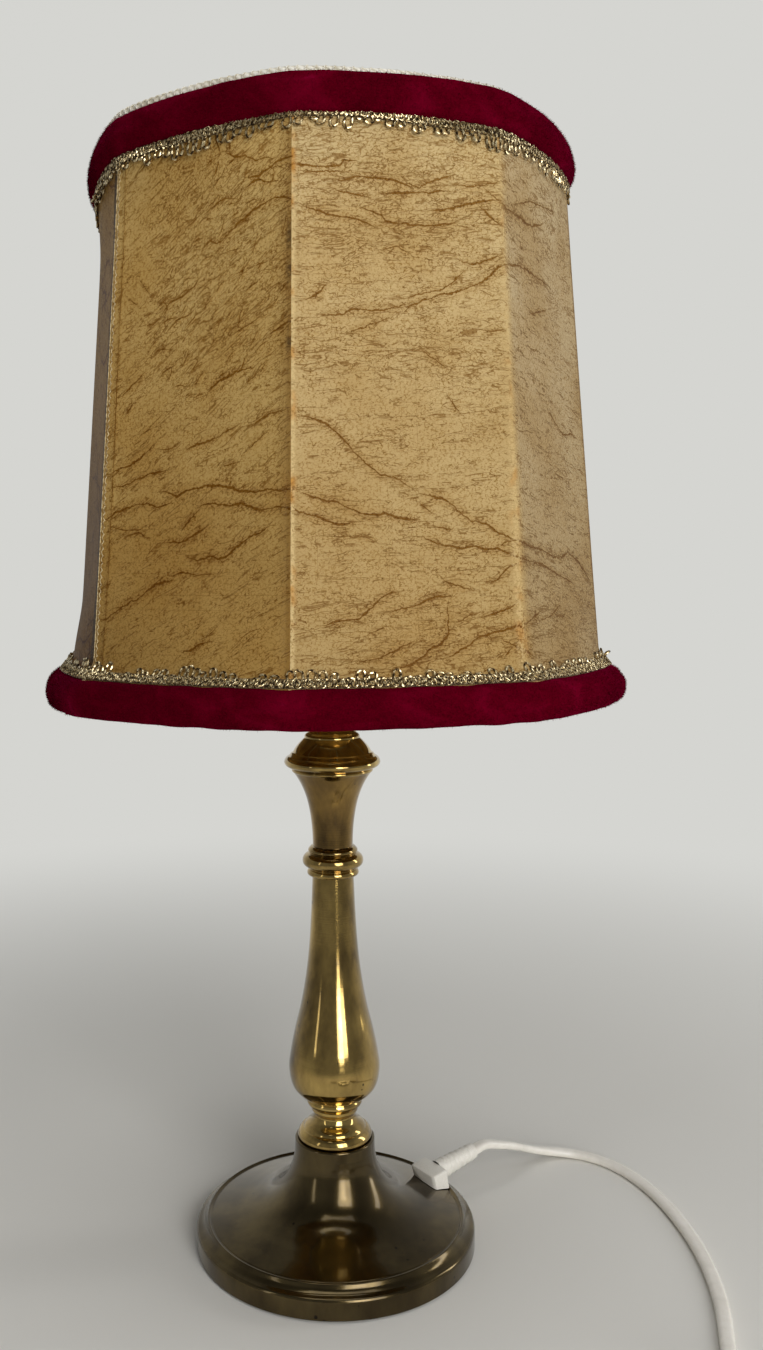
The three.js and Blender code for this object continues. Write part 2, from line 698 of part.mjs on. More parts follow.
// A thin closed sheet between two surfaces that are given over u and v from 0 to 1.
function sheet(outside, inside, columns, rows) {
  const corners = [];
  const faces = [];
  for (const surface of [outside, inside]) {
    for (let j = 0; j <= rows; j += 1) {
      for (let i = 0; i <= columns; i += 1) {
        corners.push(...surface(i / columns, j / rows).toArray());
      }
    }
  }
  const across = columns + 1;
  const layer = across * (rows + 1);
  const quad = (a, b, c, d) => faces.push(a, b, c, a, c, d);
  for (let j = 0; j < rows; j += 1) {
    for (let i = 0; i < columns; i += 1) {
      const a = j * across + i;
      quad(a, a + 1, a + 1 + across, a + across);
      quad(layer + a, layer + a + across, layer + a + across + 1, layer + a + 1);
    }
  }
  for (let i = 0; i < columns; i += 1) {
    const top = rows * across + i;
    quad(i + 1, i, layer + i, layer + i + 1);
    quad(top, top + 1, layer + top + 1, layer + top);
  }
  for (let j = 0; j < rows; j += 1) {
    const left = j * across;
    const right = left + columns;
    quad(left, left + across, layer + left + across, layer + left);
    quad(right + across, right, layer + right, layer + right + across);
  }
  const geometry = new THREE.BufferGeometry();
  geometry.setAttribute("position", new THREE.Float32BufferAttribute(corners, 3));
  geometry.setIndex(faces);
  geometry.computeVertexNormals();
  return geometry;
}

function coverPanel(index) {
  const step = (2 * Math.PI) / RIBS;
  const surface = (inset) => (u, v) => {
    const h = coverRows[Math.round(v * (coverRows.length - 1))];
    const seam = SEAM_GAP / 2 / coverRadius(h);
    const angle = step * index + THREE.MathUtils.lerp(seam, step - seam, u);
    const radius = coverRadius(h) * outline(angle, coverRoundness(h)) - inset;
    return place(radius * Math.cos(angle), radius * Math.sin(angle), h);
  };
  return sheet(surface(0), surface(COVER_THICKNESS), PANEL_COLUMNS, coverRows.length - 1);
}

// Tape folded over the top wire and the edge of the cover: a channel open downwards.
function ringTape() {
  const low = SHADE_HEIGHT - TAPE_LEG;
  const web = SHADE_HEIGHT - TAPE_THICKNESS;
  const inner = coverRadius(topWireZ) - wireInset - RING_WIRE - FIT - TAPE_THICKNESS;
  const outside = coverLine(low, SHADE_HEIGHT, FIT + TAPE_THICKNESS);
  return ringed([
    ...outside,
    at(inner, SHADE_HEIGHT),
    at(inner, low),
    at(inner + TAPE_THICKNESS, low),
    at(inner + TAPE_THICKNESS, web),
    at(coverRadius(web) + FIT, web),
    at(coverRadius(low) + FIT, low),
    outside[0].clone(),
  ]);
}

// A padded velvet ribbon round the cover, crowned between its two edges and resting on what is under it.
function velvetBand(low, high, gap) {
  const seat = coverLine(low, high, gap);
  const bottom = seat[0].x;
  const top = seat[seat.length - 1].x;
  const crown = Math.max(bottom, top) + BAND_STAND;
  const path = new THREE.Path();
  path.moveTo(bottom, low);
  path.bezierCurveTo(crown - 0.4, low, crown + 0.2, low + 3, crown, low + 6);
  path.bezierCurveTo(crown, high - 3, top + BAND_STAND * 0.6, high, top, high);
  return ringed([...path.getPoints(3), ...seat.reverse().slice(1)]);
}

// The braid lies on the cover beside the band.
function braid(low, high) {
  const inner = coverLine(low, high, FIT);
  const outer = coverLine(low, high, FIT + BRAID_THICKNESS);
  return ringed([...outer, ...inner.reverse(), outer[0].clone()]);
}

// A flat ring with four wire arms welded under it. They lie on the bottom ring midway between ribs.
function carrier() {
  const ring = turned(ringSection(SKIRT_RADIUS + FIT, CARRIER_OUTER, 0, CARRIER_THICKNESS), HOLDER_SIDES);
  const weld = WELD_DEPTH - RIB_WIRE;
  const share = outline(Math.PI / RIBS, ROUNDNESS);
  const reach = (coverRadius(bottomWireZ) - wireInset) * share;
  const lap = bottomWireZ + RING_WIRE + FIT + RIB_WIRE - SHADE_RECESS;
  const pieces = [ring];
  for (let i = 0; i < CARRIER_ARMS; i += 1) {
    const curve = new THREE.CatmullRomCurve3([
      place(CARRIER_OUTER - 2.5, 0, weld),
      place(CARRIER_OUTER + 12, 0, weld - 1),
      place((CARRIER_OUTER + reach) / 2 + 10, 0, lap / 2),
      place(reach - 9, 0, lap + 1.5),
      place(reach, 0, lap),
    ]);
    const arm = wireAlong(curve, RIB_WIRE, 6, 6);
    pieces.push(arm.rotateZ(Math.PI / RIBS + (2 * Math.PI * i) / CARRIER_ARMS));
  }
  return joined(pieces);
}

// Flex

const bushingPoint = place(
  BUSHING_RADIUS * Math.cos(degrees(BUSHING_ANGLE)),
  BUSHING_RADIUS * Math.sin(degrees(BUSHING_ANGLE)),
  LIP_HEIGHT + BUSHING_HEIGHT,
);
const flexAim = place(
  Math.cos(degrees(BUSHING_RISE)) * Math.cos(degrees(BUSHING_AIM)),
  Math.cos(degrees(BUSHING_RISE)) * Math.sin(degrees(BUSHING_AIM)),
  Math.sin(degrees(BUSHING_RISE)),
);
const sleeveTip = bushingPoint.clone().addScaledVector(flexAim, BUSHING_LENGTH / 2 + SLEEVE_LENGTH);
const stemFoot = LIP_HEIGHT - 5.4;

// One moulding: the block on the cone, the tapered sleeve round the flex and the stem through the wall.
function cordBushing() {
  const block = new THREE.BoxGeometry(BUSHING_LENGTH, BUSHING_WIDTH, BUSHING_TOP + BUSHING_DEPTH);
  block.translate(0, 0, (BUSHING_TOP - BUSHING_DEPTH) / 2);
  const sleeve = new THREE.CylinderGeometry(SLEEVE_TIP, SLEEVE_BUTT, SLEEVE_LENGTH + 1, 16);
  sleeve.rotateZ(-Math.PI / 2);
  sleeve.translate(BUSHING_LENGTH / 2 + SLEEVE_LENGTH / 2 - 0.5, 0, 0);
  const aimed = geometryOf(solid(block).add(solid(sleeve)));
  aimed.rotateY(-degrees(BUSHING_RISE));
  aimed.rotateZ(degrees(BUSHING_AIM));
  aimed.translate(bushingPoint.x, bushingPoint.y, bushingPoint.z);
  const cone = baseOutline(-FIT).getPoints(2);
  const under = turned([at(0, RIM_FOOT), ...cone, at(0, cone[cone.length - 1].y)], BASE_SIDES);
  const stemHeight = bushingPoint.z - stemFoot;
  const stem = new THREE.BoxGeometry(BUSHING_STEM, BUSHING_STEM, stemHeight);
  stem.rotateZ(degrees(BUSHING_ANGLE));
  stem.translate(bushingPoint.x, bushingPoint.y, stemFoot + stemHeight / 2);
  return joined([cut(aimed, [under]), stem]);
}

// Inside the lamp the flex lies over the weight, turns up the tube and ends in the lampholder.
function flexInside() {
  const inward = place(-Math.cos(degrees(BUSHING_ANGLE)), -Math.sin(degrees(BUSHING_ANGLE)), 0);
  const low = stemFoot + FLEX_THICKNESS / 2 + 0.6;
  const along = (radius, z) => inward.clone().multiplyScalar(-radius).setZ(z);
  const start = BUSHING_RADIUS - BUSHING_STEM / 2 - FIT;
  const bend = new THREE.CatmullRomCurve3([
    along(start, low),
    along(start - 10, low),
    along(WEIGHT_INNER, low + 0.4),
    along(12.5, low + 2.6),
    along(5.5, low + 9),
    along(1.6, low + 17),
    along(0, TUBE_Z + 4),
    along(0, TUBE_Z + 20),
  ]);
  const path = new THREE.CurvePath();
  path.add(bend);
  path.add(new THREE.LineCurve3(along(0, TUBE_Z + 20), along(0, INSULATOR_Z - FIT)));
  return flexAlong(path, 26);
}

// The free flex from the bushing to the switch: over the back of the base, then round on the table.
const switchEntry = place(SWITCH_X, SWITCH_Y + SWITCH_LENGTH / 2 + FIT, SWITCH_SPLIT);
const runPoints = [
  sleeveTip.clone().addScaledVector(flexAim, FIT),
  sleeveTip.clone().addScaledVector(flexAim, 7),
  place(77, 49, 19.6),
  place(84.5, 56.5, 15.4),
  place(91, 64, 10.6),
  place(98, 70.5, 6.4),
  place(106, 75, 3.6),
  place(115, 76, 2.2),
  place(124, 73, FLEX_LOW),
  place(132, 67, FLEX_LOW),
  place(139, 58.5, FLEX_LOW),
  place(145.5, 46, FLEX_LOW),
  place(150.5, 31, FLEX_LOW),
  place(154, 14, FLEX_LOW),
  place(156.3, -6, FLEX_LOW),
  place(156.3, -28, FLEX_LOW),
  place(154, -50, FLEX_LOW),
  place(149.6, -72, FLEX_LOW),
  place(146.6, -88, FLEX_LOW + 0.6),
  place(145.6, -99, SWITCH_SPLIT - 2),
  switchEntry.clone().setY(switchEntry.y + 5),
  switchEntry,
];

function flexRun() {
  return flexThrough(runPoints, 26);
}

// From the switch round to the foot of the coil.
const coilLow = FLEX_THICKNESS / 2 + COIL_LIFT;
const coilFoot = place(COIL_X, COIL_Y - COIL_RADIUS, coilLow);
const linkPoints = [
  place(SWITCH_X, SWITCH_Y - SWITCH_LENGTH / 2 - FIT, SWITCH_SPLIT),
  place(SWITCH_X, SWITCH_Y - SWITCH_LENGTH / 2 - 7, SWITCH_SPLIT),
  place(142, -194, 4.6),
  place(133, -206, 3),
  place(120, -213, coilLow),
  place(104, COIL_Y - COIL_RADIUS, coilLow),
  coilFoot.clone().setX(COIL_X + 2 * FLEX_WIDTH),
  coilFoot.clone().setX(COIL_X + FLEX_WIDTH + FIT),
];

function flexLink() {
  return flexThrough(linkPoints, 9);
}

// The coil lies flat: it spirals in, climbs one layer in the half turn where it reverses, and spirals out.
class CoilLine extends THREE.Curve {
  getPoint(t) {
    const turns = 2 * COIL_TURNS;
    const straight = FLEX_WIDTH / (turns * 2 * Math.PI * (COIL_RADIUS - (COIL_PITCH * COIL_TURNS) / 2));
    const part = (t - straight) / (1 - 2 * straight);
    const done = turns * THREE.MathUtils.clamp(part, 0, 1);
    const inward = Math.min(done, turns - done);
    const radius = COIL_RADIUS - COIL_PITCH * inward;
    const layer = smooth((done - COIL_TURNS + 0.25) * 2);
    const angle = -Math.PI / 2 - 2 * Math.PI * done;
    const overrun = part < 0 ? part : Math.max(part - 1, 0);
    const slide = (overrun / straight) * FLEX_WIDTH;
    return place(
      COIL_X + radius * Math.cos(angle) - slide,
      COIL_Y + radius * Math.sin(angle),
      coilLow + COIL_LAYER * layer,
    );
  }
}

function flexCoil() {
  return flexAlong(lyingFlat(new CoilLine()), 24 * 2 * COIL_TURNS + 2, 6);
}

// Least distance between the surfaces of turns that lie beside or over each other.
function coilGap() {
  const line = new CoilLine().getSpacedPoints(48 * 2 * COIL_TURNS);
  const skin = [];
  line.forEach((point, index) => {
    const before = line[Math.max(index - 1, 0)];
    const after = line[Math.min(index + 1, line.length - 1)];
    const side = after.clone().sub(before).cross(place(0, 0, 1)).normalize();
    for (let k = 0; k < 12; k += 1) {
      const angle = (k * Math.PI) / 6;
      const spot = point.clone().addScaledVector(side, (Math.cos(angle) * FLEX_WIDTH) / 2);
      spot.z += (Math.sin(angle) * FLEX_THICKNESS) / 2;
      skin.push([index, spot]);
    }
  });
  let least = Infinity;
  for (const [i, a] of skin) {
    for (const [j, b] of skin) {
      if (j - i > 16) {
        least = Math.min(least, a.distanceTo(b));
      }
    }
  }
  return least;
}

// From the top of the coil to the plug beside it.
const plugRear = COIL_X - 46;
const plugZ = PLUG_THICKNESS / 2 + 0.2;
const tailPoints = [
  place(COIL_X - FLEX_WIDTH - FIT, COIL_Y - COIL_RADIUS, coilLow + COIL_LAYER),
  place(COIL_X - 2 * FLEX_WIDTH, COIL_Y - COIL_RADIUS, coilLow + COIL_LAYER),
  place(COIL_X - 26, COIL_Y - COIL_RADIUS, (coilLow + COIL_LAYER + plugZ) / 2),
  place(plugRear + FIT + 6, COIL_Y - COIL_RADIUS, plugZ),
  place(plugRear + FIT, COIL_Y - COIL_RADIUS, plugZ),
];

function flexTail() {
  return flexThrough(tailPoints, 4);
}

function roundedOblong(x0, x1, y0, y1, corner) {
  const shape = new THREE.Shape();
  shape.moveTo(x0 + corner, y0);
  shape.absarc(x1 - corner, y0 + corner, corner, -Math.PI / 2, 0, false);
  shape.absarc(x1 - corner, y1 - corner, corner, 0, Math.PI / 2, false);
  shape.absarc(x0 + corner, y1 - corner, corner, Math.PI / 2, Math.PI, false);
  shape.absarc(x0 + corner, y0 + corner, corner, Math.PI, 1.5 * Math.PI, false);
  return shape;
}

// A strap round the bundle of turns on the coil's far side from the switch.
function coilTie() {
  const inner = COIL_RADIUS - COIL_PITCH * (COIL_TURNS - 0.25) - FLEX_WIDTH / 2 - FIT;
  const outer = COIL_RADIUS - COIL_PITCH * 0.25 + FLEX_WIDTH / 2 + FIT;
  const low = COIL_LIFT - FIT;
  const high = COIL_LIFT + FLEX_THICKNESS + COIL_LAYER + FIT;
  const t = TIE_THICKNESS;
  const strap = roundedOblong(inner - t, outer + t, low - t, high + t, 2);
  strap.holes.push(roundedOblong(inner, outer, low, high, 1.5));
  const geometry = new THREE.ExtrudeGeometry(strap, {
    depth: TIE_WIDTH,
    bevelEnabled: false,
    curveSegments: 2,
  });
  geometry.rotateX(Math.PI / 2);
  geometry.translate(0, TIE_WIDTH / 2, 0);
  geometry.rotateZ(Math.PI);
  return geometry.translate(COIL_X, COIL_Y, 0);
}

// Switch: a tray and a cover that close on the flex, with a rocker in a window of the cover

function switchHalf(width, length, depth) {
  const end = width * 0.32;
  const outlineShape = new THREE.Shape();
  const half = length / 2;
  const side = width / 2;
  outlineShape.moveTo(-half, -end);
  outlineShape.quadraticCurveTo(-half + 2, -side, -half + 14, -side);
  outlineShape.lineTo(half - 14, -side);
  outlineShape.quadraticCurveTo(half - 2, -side, half, -end);
  outlineShape.lineTo(half, end);
  outlineShape.quadraticCurveTo(half - 2, side, half - 14, side);
  outlineShape.lineTo(-half + 14, side);
  outlineShape.quadraticCurveTo(-half + 2, side, -half, end);
  outlineShape.lineTo(-half, -end);
  return new THREE.ExtrudeGeometry(outlineShape, { depth, bevelEnabled: false, curveSegments: 5 });
}

function switchTray() {
  const body = switchHalf(SWITCH_WIDTH, SWITCH_LENGTH, SWITCH_SPLIT - 0.2);
  const inner = switchHalf(SWITCH_WIDTH - 2 * SWITCH_WALL, SWITCH_LENGTH - 2 * SWITCH_WALL, SWITCH_SPLIT);
  return cut(body, [inner.translate(0, 0, SWITCH_WALL)]);
}

const rockerAxis = SWITCH_HEIGHT - SWITCH_SPLIT - ROCKER_TOP; // above the split
const rockerRise = (ROCKER_LENGTH / 2) * Math.tan(degrees(ROCKER_TILT));

function switchCover() {
  const depth = SWITCH_HEIGHT - SWITCH_SPLIT;
  const outline = switchHalf(SWITCH_WIDTH, SWITCH_LENGTH, depth - 1.6);
  const crown = switchHalf(SWITCH_WIDTH - 3, SWITCH_LENGTH - 3, depth);
  const sweep = ROCKER_LENGTH / 2 + (ROCKER_TOP + rockerRise) * Math.sin(degrees(ROCKER_TILT)) + FIT;
  const window = new THREE.BoxGeometry(2 * sweep, ROCKER_WIDTH + 2 * FIT, 4 * depth);
  const pinHole = ROCKER_PIN + FIT;
  const pivot = new THREE.CylinderGeometry(pinHole, pinHole, ROCKER_WIDTH + 6, 12);
  pivot.translate(0, 0, rockerAxis);
  const hollow = switchHalf(SWITCH_WIDTH - 2 * SWITCH_WALL, SWITCH_LENGTH - 2 * SWITCH_WALL, 3);
  return cut(joined([outline, crown]), [window, pivot, hollow.translate(0, 0, -1.5)]);
}

// The rocker's top is two flats in a shallow vee, with a stub pin on each side.
function switchRocker() {
  const half = ROCKER_LENGTH / 2;
  const profile = new THREE.Shape([
    at(-half, ROCKER_TOP + rockerRise),
    at(-half + 0.8, -1.4),
    at(-half / 2, -2.6),
    at(half / 2, -2.6),
    at(half - 0.8, -1.4),
    at(half, ROCKER_TOP + rockerRise),
    at(0, ROCKER_TOP - 0.4),
  ]);
  const body = new THREE.ExtrudeGeometry(profile, { depth: ROCKER_WIDTH, bevelEnabled: false });
  body.translate(0, 0, -ROCKER_WIDTH / 2).rotateX(Math.PI / 2);
  const pin = new THREE.CylinderGeometry(ROCKER_PIN, ROCKER_PIN, ROCKER_WIDTH + 5.4, 12);
  return joined([body, pin]);
}

// Plug: a flat moulded body with two round pins

function plugBody() {
  const half = PLUG_WIDTH / 2;
  const shape = new THREE.Shape();
  shape.moveTo(0, -half);
  shape.lineTo(0, half);
  shape.lineTo(PLUG_LENGTH * 0.45, half);
  shape.quadraticCurveTo(PLUG_LENGTH * 0.75, half, PLUG_LENGTH * 0.85, 5.5);
  shape.lineTo(PLUG_LENGTH, 4.2);
  shape.lineTo(PLUG_LENGTH, -4.2);
  shape.lineTo(PLUG_LENGTH * 0.85, -5.5);
  shape.quadraticCurveTo(PLUG_LENGTH * 0.75, -half, PLUG_LENGTH * 0.45, -half);
  shape.lineTo(0, -half);
  const bevel = 2;
  const body = new THREE.ExtrudeGeometry(shape, {
    depth: PLUG_THICKNESS - 2 * bevel,
    bevelThickness: bevel,
    bevelSize: bevel,
    bevelOffset: -bevel,
    bevelSegments: 2,
    curveSegments: 5,
  });
  body.translate(0, 0, bevel - PLUG_THICKNESS / 2);
  const seats = [-1, 1].map((side) => {
    const hole = new THREE.CylinderGeometry(PIN_RADIUS + FIT, PIN_RADIUS + FIT, 2 * PIN_SEAT, 12);
    return hole.rotateZ(Math.PI / 2).translate(0, (side * PIN_SPACING) / 2, 0);
  });
  return cut(body, seats);
}

function plugPin() {
  const reach = PIN_LENGTH + PIN_SEAT - FIT;
  const path = new THREE.Path();
  path.moveTo(0, 0);
  path.lineTo(PIN_RADIUS, 0);
  path.lineTo(PIN_RADIUS, reach - PIN_RADIUS);
  path.absarc(0, reach - PIN_RADIUS, PIN_RADIUS, 0, Math.PI / 2, false);
  const pin = turned(path.getPoints(1), 10);
  return pin.rotateY(-Math.PI / 2).translate(PIN_SEAT - FIT, 0, 0);
}

// Assembly

addPiece(lamp, "felt_pad", feltPad(), felt);
addPiece(lamp, "bottom_disc", bottomDisc(), fibreboard, FELT_THICKNESS);
addPiece(lamp, "weight_ring", weightRing(), castIron, WEIGHT_Z);
addPiece(lamp, "base_shell", baseShell(bushingPoint), antiqueBrass);
addPiece(lamp, "base_washer", washer(), steel, WASHER_Z);
addPiece(lamp, "base_nut", hexNut(), steel, NUT_Z);
addPiece(lamp, "threaded_tube", threadedTube(), steel, TUBE_Z);
addPiece(lamp, "column_foot", columnFoot(), polishedBrass, SEAT_Z);
addPiece(lamp, "column_vase", columnVase(), polishedBrass, VASE_Z);
addPiece(lamp, "column_collar", columnCollar(), polishedBrass, COLLAR_Z);
addPiece(lamp, "column_flare", columnFlare(), polishedBrass, FLARE_Z);
addPiece(lamp, "column_brim", columnBrim(), polishedBrass, BRIM_Z);
addPiece(lamp, "column_dome", columnDome(), polishedBrass, DOME_Z);

addPiece(lamp, "holder_cap", holderCap(), polishedBrass, HOLDER_Z);
addPiece(lamp, "holder_skirt", holderSkirt(), polishedBrass, SKIRT_Z);
addPiece(lamp, "holder_insulator", holderInsulator(), ceramic, INSULATOR_Z);
addPiece(lamp, "screw_shell", screwShell(), polishedBrass, CONTACT_Z);
addPiece(lamp, "centre_contact", centreContact(), nickel, CONTACT_Z);
addPiece(lamp, "shade_shoulder", shadeShoulder(), polishedBrass, SKIRT_Z + SHOULDER_Z);
addPiece(lamp, "shade_ring_nut", ringNut(), polishedBrass, CARRIER_Z + CARRIER_THICKNESS + FIT);
addPiece(lamp, "bulb_cap", bulbCap(), nickel, BULB_Z);
addPiece(lamp, "bulb_glass", bulbGlass(), opalGlass, BULB_Z);

addPiece(shade, "shade_carrier", carrier(), steel, SHADE_RECESS);
addPiece(shade, "shade_ring_bottom", ringWire(bottomWireZ), steel);
addPiece(shade, "shade_ring_top", ringWire(topWireZ), steel);
for (let i = 0; i < RIBS; i += 1) {
  addPiece(shade, `shade_rib_${i + 1}`, rib(i), steel);
  addPiece(shade, `cover_panel_${i + 1}`, coverPanel(i), parchment);
}
addPiece(shade, "ring_tape", ringTape(), cotton);
const topBandHigh = SHADE_HEIGHT - BAND_TOP_DROP;
const topBandLow = topBandHigh - BAND_TOP_HEIGHT;
addPiece(shade, "velvet_band_top", velvetBand(topBandLow, topBandHigh, FIT + TAPE_THICKNESS + FIT), velvet);
addPiece(shade, "velvet_band_bottom", velvetBand(0, BAND_HEIGHT, FIT), velvet);
addPiece(shade, "braid_top", braid(topBandLow - FIT - BRAID_HEIGHT, topBandLow - FIT), gimp);
addPiece(shade, "braid_bottom", braid(BAND_HEIGHT + FIT, BAND_HEIGHT + FIT + BRAID_HEIGHT), gimp);

addPiece(lamp, "cord_bushing", cordBushing(), whitePlastic);
addPiece(lamp, "cord_inside", flexInside(), whitePlastic);
addPiece(lamp, "cord_run", flexRun(), whitePlastic);
addPiece(lamp, "cord_link", flexLink(), whitePlastic);
addPiece(lamp, "cord_coil", flexCoil(), whitePlastic);
addPiece(lamp, "cord_tail", flexTail(), whitePlastic);
addPiece(lamp, "cord_tie", coilTie(), whitePlastic);

const cordSwitch = new THREE.Group();
cordSwitch.position.set(SWITCH_X, SWITCH_Y, 0);
cordSwitch.rotation.z = Math.PI / 2;
lamp.add(cordSwitch);
addPiece(cordSwitch, "switch_tray", switchTray(), whitePlastic, 0.2);
addPiece(cordSwitch, "switch_cover", switchCover(), whitePlastic, SWITCH_SPLIT);
const rocker = addPiece(cordSwitch, "switch_rocker", switchRocker(), whitePlastic, SWITCH_SPLIT + rockerAxis);
rocker.rotation.y = degrees(ROCKER_TILT);

const plug = new THREE.Group();
plug.position.set(plugRear - PLUG_LENGTH, COIL_Y - COIL_RADIUS, plugZ);
lamp.add(plug);
addPiece(plug, "plug_body", plugBody(), whitePlastic);
["left", "right"].forEach((side, index) => {
  const pin = addPiece(plug, `plug_pin_${side}`, plugPin(), nickel);
  pin.position.y = ((index === 0 ? 1 : -1) * PIN_SPACING) / 2;
});

console.log(`least gap between the coil's turns ${coilGap().toFixed(2)} mm`);

export default lamp;
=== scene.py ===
import math

import bpy
import numpy as np
from mathutils import Matrix, Vector, noise


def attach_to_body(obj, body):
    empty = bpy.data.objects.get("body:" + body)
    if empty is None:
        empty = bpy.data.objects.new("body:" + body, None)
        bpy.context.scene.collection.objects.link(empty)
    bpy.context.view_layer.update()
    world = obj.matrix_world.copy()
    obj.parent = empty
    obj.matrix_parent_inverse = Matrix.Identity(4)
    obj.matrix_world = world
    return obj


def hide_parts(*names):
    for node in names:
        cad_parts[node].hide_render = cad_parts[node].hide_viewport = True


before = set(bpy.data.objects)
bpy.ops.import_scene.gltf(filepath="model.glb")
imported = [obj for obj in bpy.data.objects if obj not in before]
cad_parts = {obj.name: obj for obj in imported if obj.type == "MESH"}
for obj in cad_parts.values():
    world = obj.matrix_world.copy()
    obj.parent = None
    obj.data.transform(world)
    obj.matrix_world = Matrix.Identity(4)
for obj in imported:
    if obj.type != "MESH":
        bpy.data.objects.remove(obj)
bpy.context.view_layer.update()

# Sizes are in millimetres, in the frame of the CAD model. The meshes are written in metres.
MM = 0.001
UP = np.array([0.0, 0.0, 1.0])
TURN = 2 * math.pi
FIT = 0.3

# Heights of the turned pieces
SEAT_Z = 45.5
VASE_Z = 57.25
COLLAR_Z = 163.25
FLARE_Z = 176.25
BRIM_Z = 208.25
DOME_Z = 215.25
HOLDER_Z = 229.25
SKIRT_Z = 250.25
INSULATOR_Z = 246.25
CONTACT_Z = 256.25
BULB_Z = 259.25
SHOULDER_Z = 262.75
RING_NUT_Z = 268.6
BORE = 5.3
SHADE_RING_BORE = 19.9

# Shade, in heights above its lowest edge
SHADE_Z = 240.8
SHADE_TURN = math.radians(-5)
SHADE_HEIGHT = 219.5
RIBS = 8
COVER_BOTTOM_RADIUS = 112.4
COVER_TOP_RADIUS = 94.7
COVER_THICKNESS = 0.8
COVER_LOW = 1.0
COVER_HIGH = 218.7
ROUNDNESS = 0.57
RING_FLARE = 6.8
TOP_WIRE = 217.2
BOTTOM_WIRE = 2.5
RING_WIRE = 3.0
RIB_WIRE = 2.5
WIRE_INSET = 2.6
CARRIER_Z = 267.05
CARRIER_THICKNESS = 1.25

# Velvet bands, in heights above the shade's lowest edge
TOP_BAND = (203.4, 217.2)
BOTTOM_BAND = (0.05, 13.6)


# Shapes

def smooth(t):
    t = np.clip(t, 0.0, 1.0)
    return t * t * (3 - 2 * t)


def unit(vectors):
    return vectors / np.linalg.norm(vectors, axis=-1, keepdims=True)


def quads(rows, columns, wrap_rows=False, wrap_columns=False):
    """Faces of a grid of points, and the row and column of each of their corners."""
    r, c = np.meshgrid(
        np.arange(rows - (not wrap_rows)), np.arange(columns - (not wrap_columns)), indexing="ij"
    )
    r, c = r.ravel(), c.ravel()
    places = np.stack([(r, c), (r, c + 1), (r + 1, c + 1), (r + 1, c)], 0).transpose(2, 0, 1)
    faces = (places[..., 0] % rows) * columns + places[..., 1] % columns
    return faces, places


def patch(points, wrap_rows=False, wrap_columns=False):
    """A surface through a grid of points, with its corners' places along the rows and columns in millimetres."""
    points = np.asarray(points, float)
    rows, columns = points.shape[:2]
    faces, places = quads(rows, columns, wrap_rows, wrap_columns)

    def lengths(grid, axis):
        steps = np.linalg.norm(np.diff(grid, axis=axis, append=grid.take([0], axis)), axis=-1)
        steps = steps.mean(axis=1 - axis)
        return np.concatenate([[0], np.cumsum(steps)])

    along = lengths(points, 0)
    across = lengths(points, 1)
    lay = np.stack([along[places[..., 0]], across[places[..., 1]]], -1)
    return points.reshape(-1, 3), faces, lay


def sweep(path, outward, section, closed=False, scale=None):
    """A section carried along a path. Its second axis keeps to the outward side."""
    path = np.asarray(path, float)
    if closed:
        ahead = np.roll(path, -1, 0) - np.roll(path, 1, 0)
    else:
        ahead = np.gradient(path, axis=0)
    ahead = unit(ahead)
    side = unit(np.cross(ahead, np.broadcast_to(outward, path.shape)))
    out = np.cross(side, ahead)
    size = np.ones(len(path)) if scale is None else np.asarray(scale, float)
    section = np.asarray(section, float)
    points = (
        path[:, None]
        + side[:, None] * section[None, :, :1] * size[:, None, None]
        + out[:, None] * section[None, :, 1:] * size[:, None, None]
    )
    return patch(points, wrap_rows=closed, wrap_columns=True)


def oval(width, thickness, sides):
    turn = np.arange(sides) * TURN / sides
    return np.stack([np.cos(turn) * width / 2, np.sin(turn) * thickness / 2], -1)


def rounded_ends(count, ends=(0.05, 0.6, 0.9)):
    """Shares of the full section that round off both ends of a thread or flex."""
    size = np.ones(count)
    size[: len(ends)] = ends
    size[-len(ends):] = ends[::-1]
    return size


def spline(points, steps=12, power=0.5):
    """Centripetal spline through the points."""
    points = [np.asarray(p, float) for p in points]
    points = [2 * points[0] - points[1], *points, 2 * points[-1] - points[-2]]
    line = []
    for a, b, c, d in zip(points, points[1:], points[2:], points[3:]):
        t0 = 0.0
        t1 = t0 + max(np.linalg.norm(b - a), 1e-9) ** power
        t2 = t1 + max(np.linalg.norm(c - b), 1e-9) ** power
        t3 = t2 + max(np.linalg.norm(d - c), 1e-9) ** power
        t = np.linspace(t1, t2, steps, endpoint=False)[:, None]
        ab = (t1 - t) / (t1 - t0) * a + (t - t0) / (t1 - t0) * b
        bc = (t2 - t) / (t2 - t1) * b + (t - t1) / (t2 - t1) * c
        cd = (t3 - t) / (t3 - t2) * c + (t - t2) / (t3 - t2) * d
        abc = (t2 - t) / (t2 - t0) * ab + (t - t0) / (t2 - t0) * bc
        bcd = (t3 - t) / (t3 - t1) * bc + (t - t1) / (t3 - t1) * cd
        line.append((t2 - t) / (t2 - t1) * abc + (t - t1) / (t2 - t1) * bcd)
    return np.concatenate([*line, points[-2][None]])


def bend(*points, steps=10):
    """Bezier curve of three or four points."""
    points = [np.asarray(p, float) for p in points]
    t = np.linspace(0, 1, steps + 1)[:, None]
    while len(points) > 1:
        points = [a * (1 - t) + b * t for a, b in zip(points, points[1:])]
    return points[0]


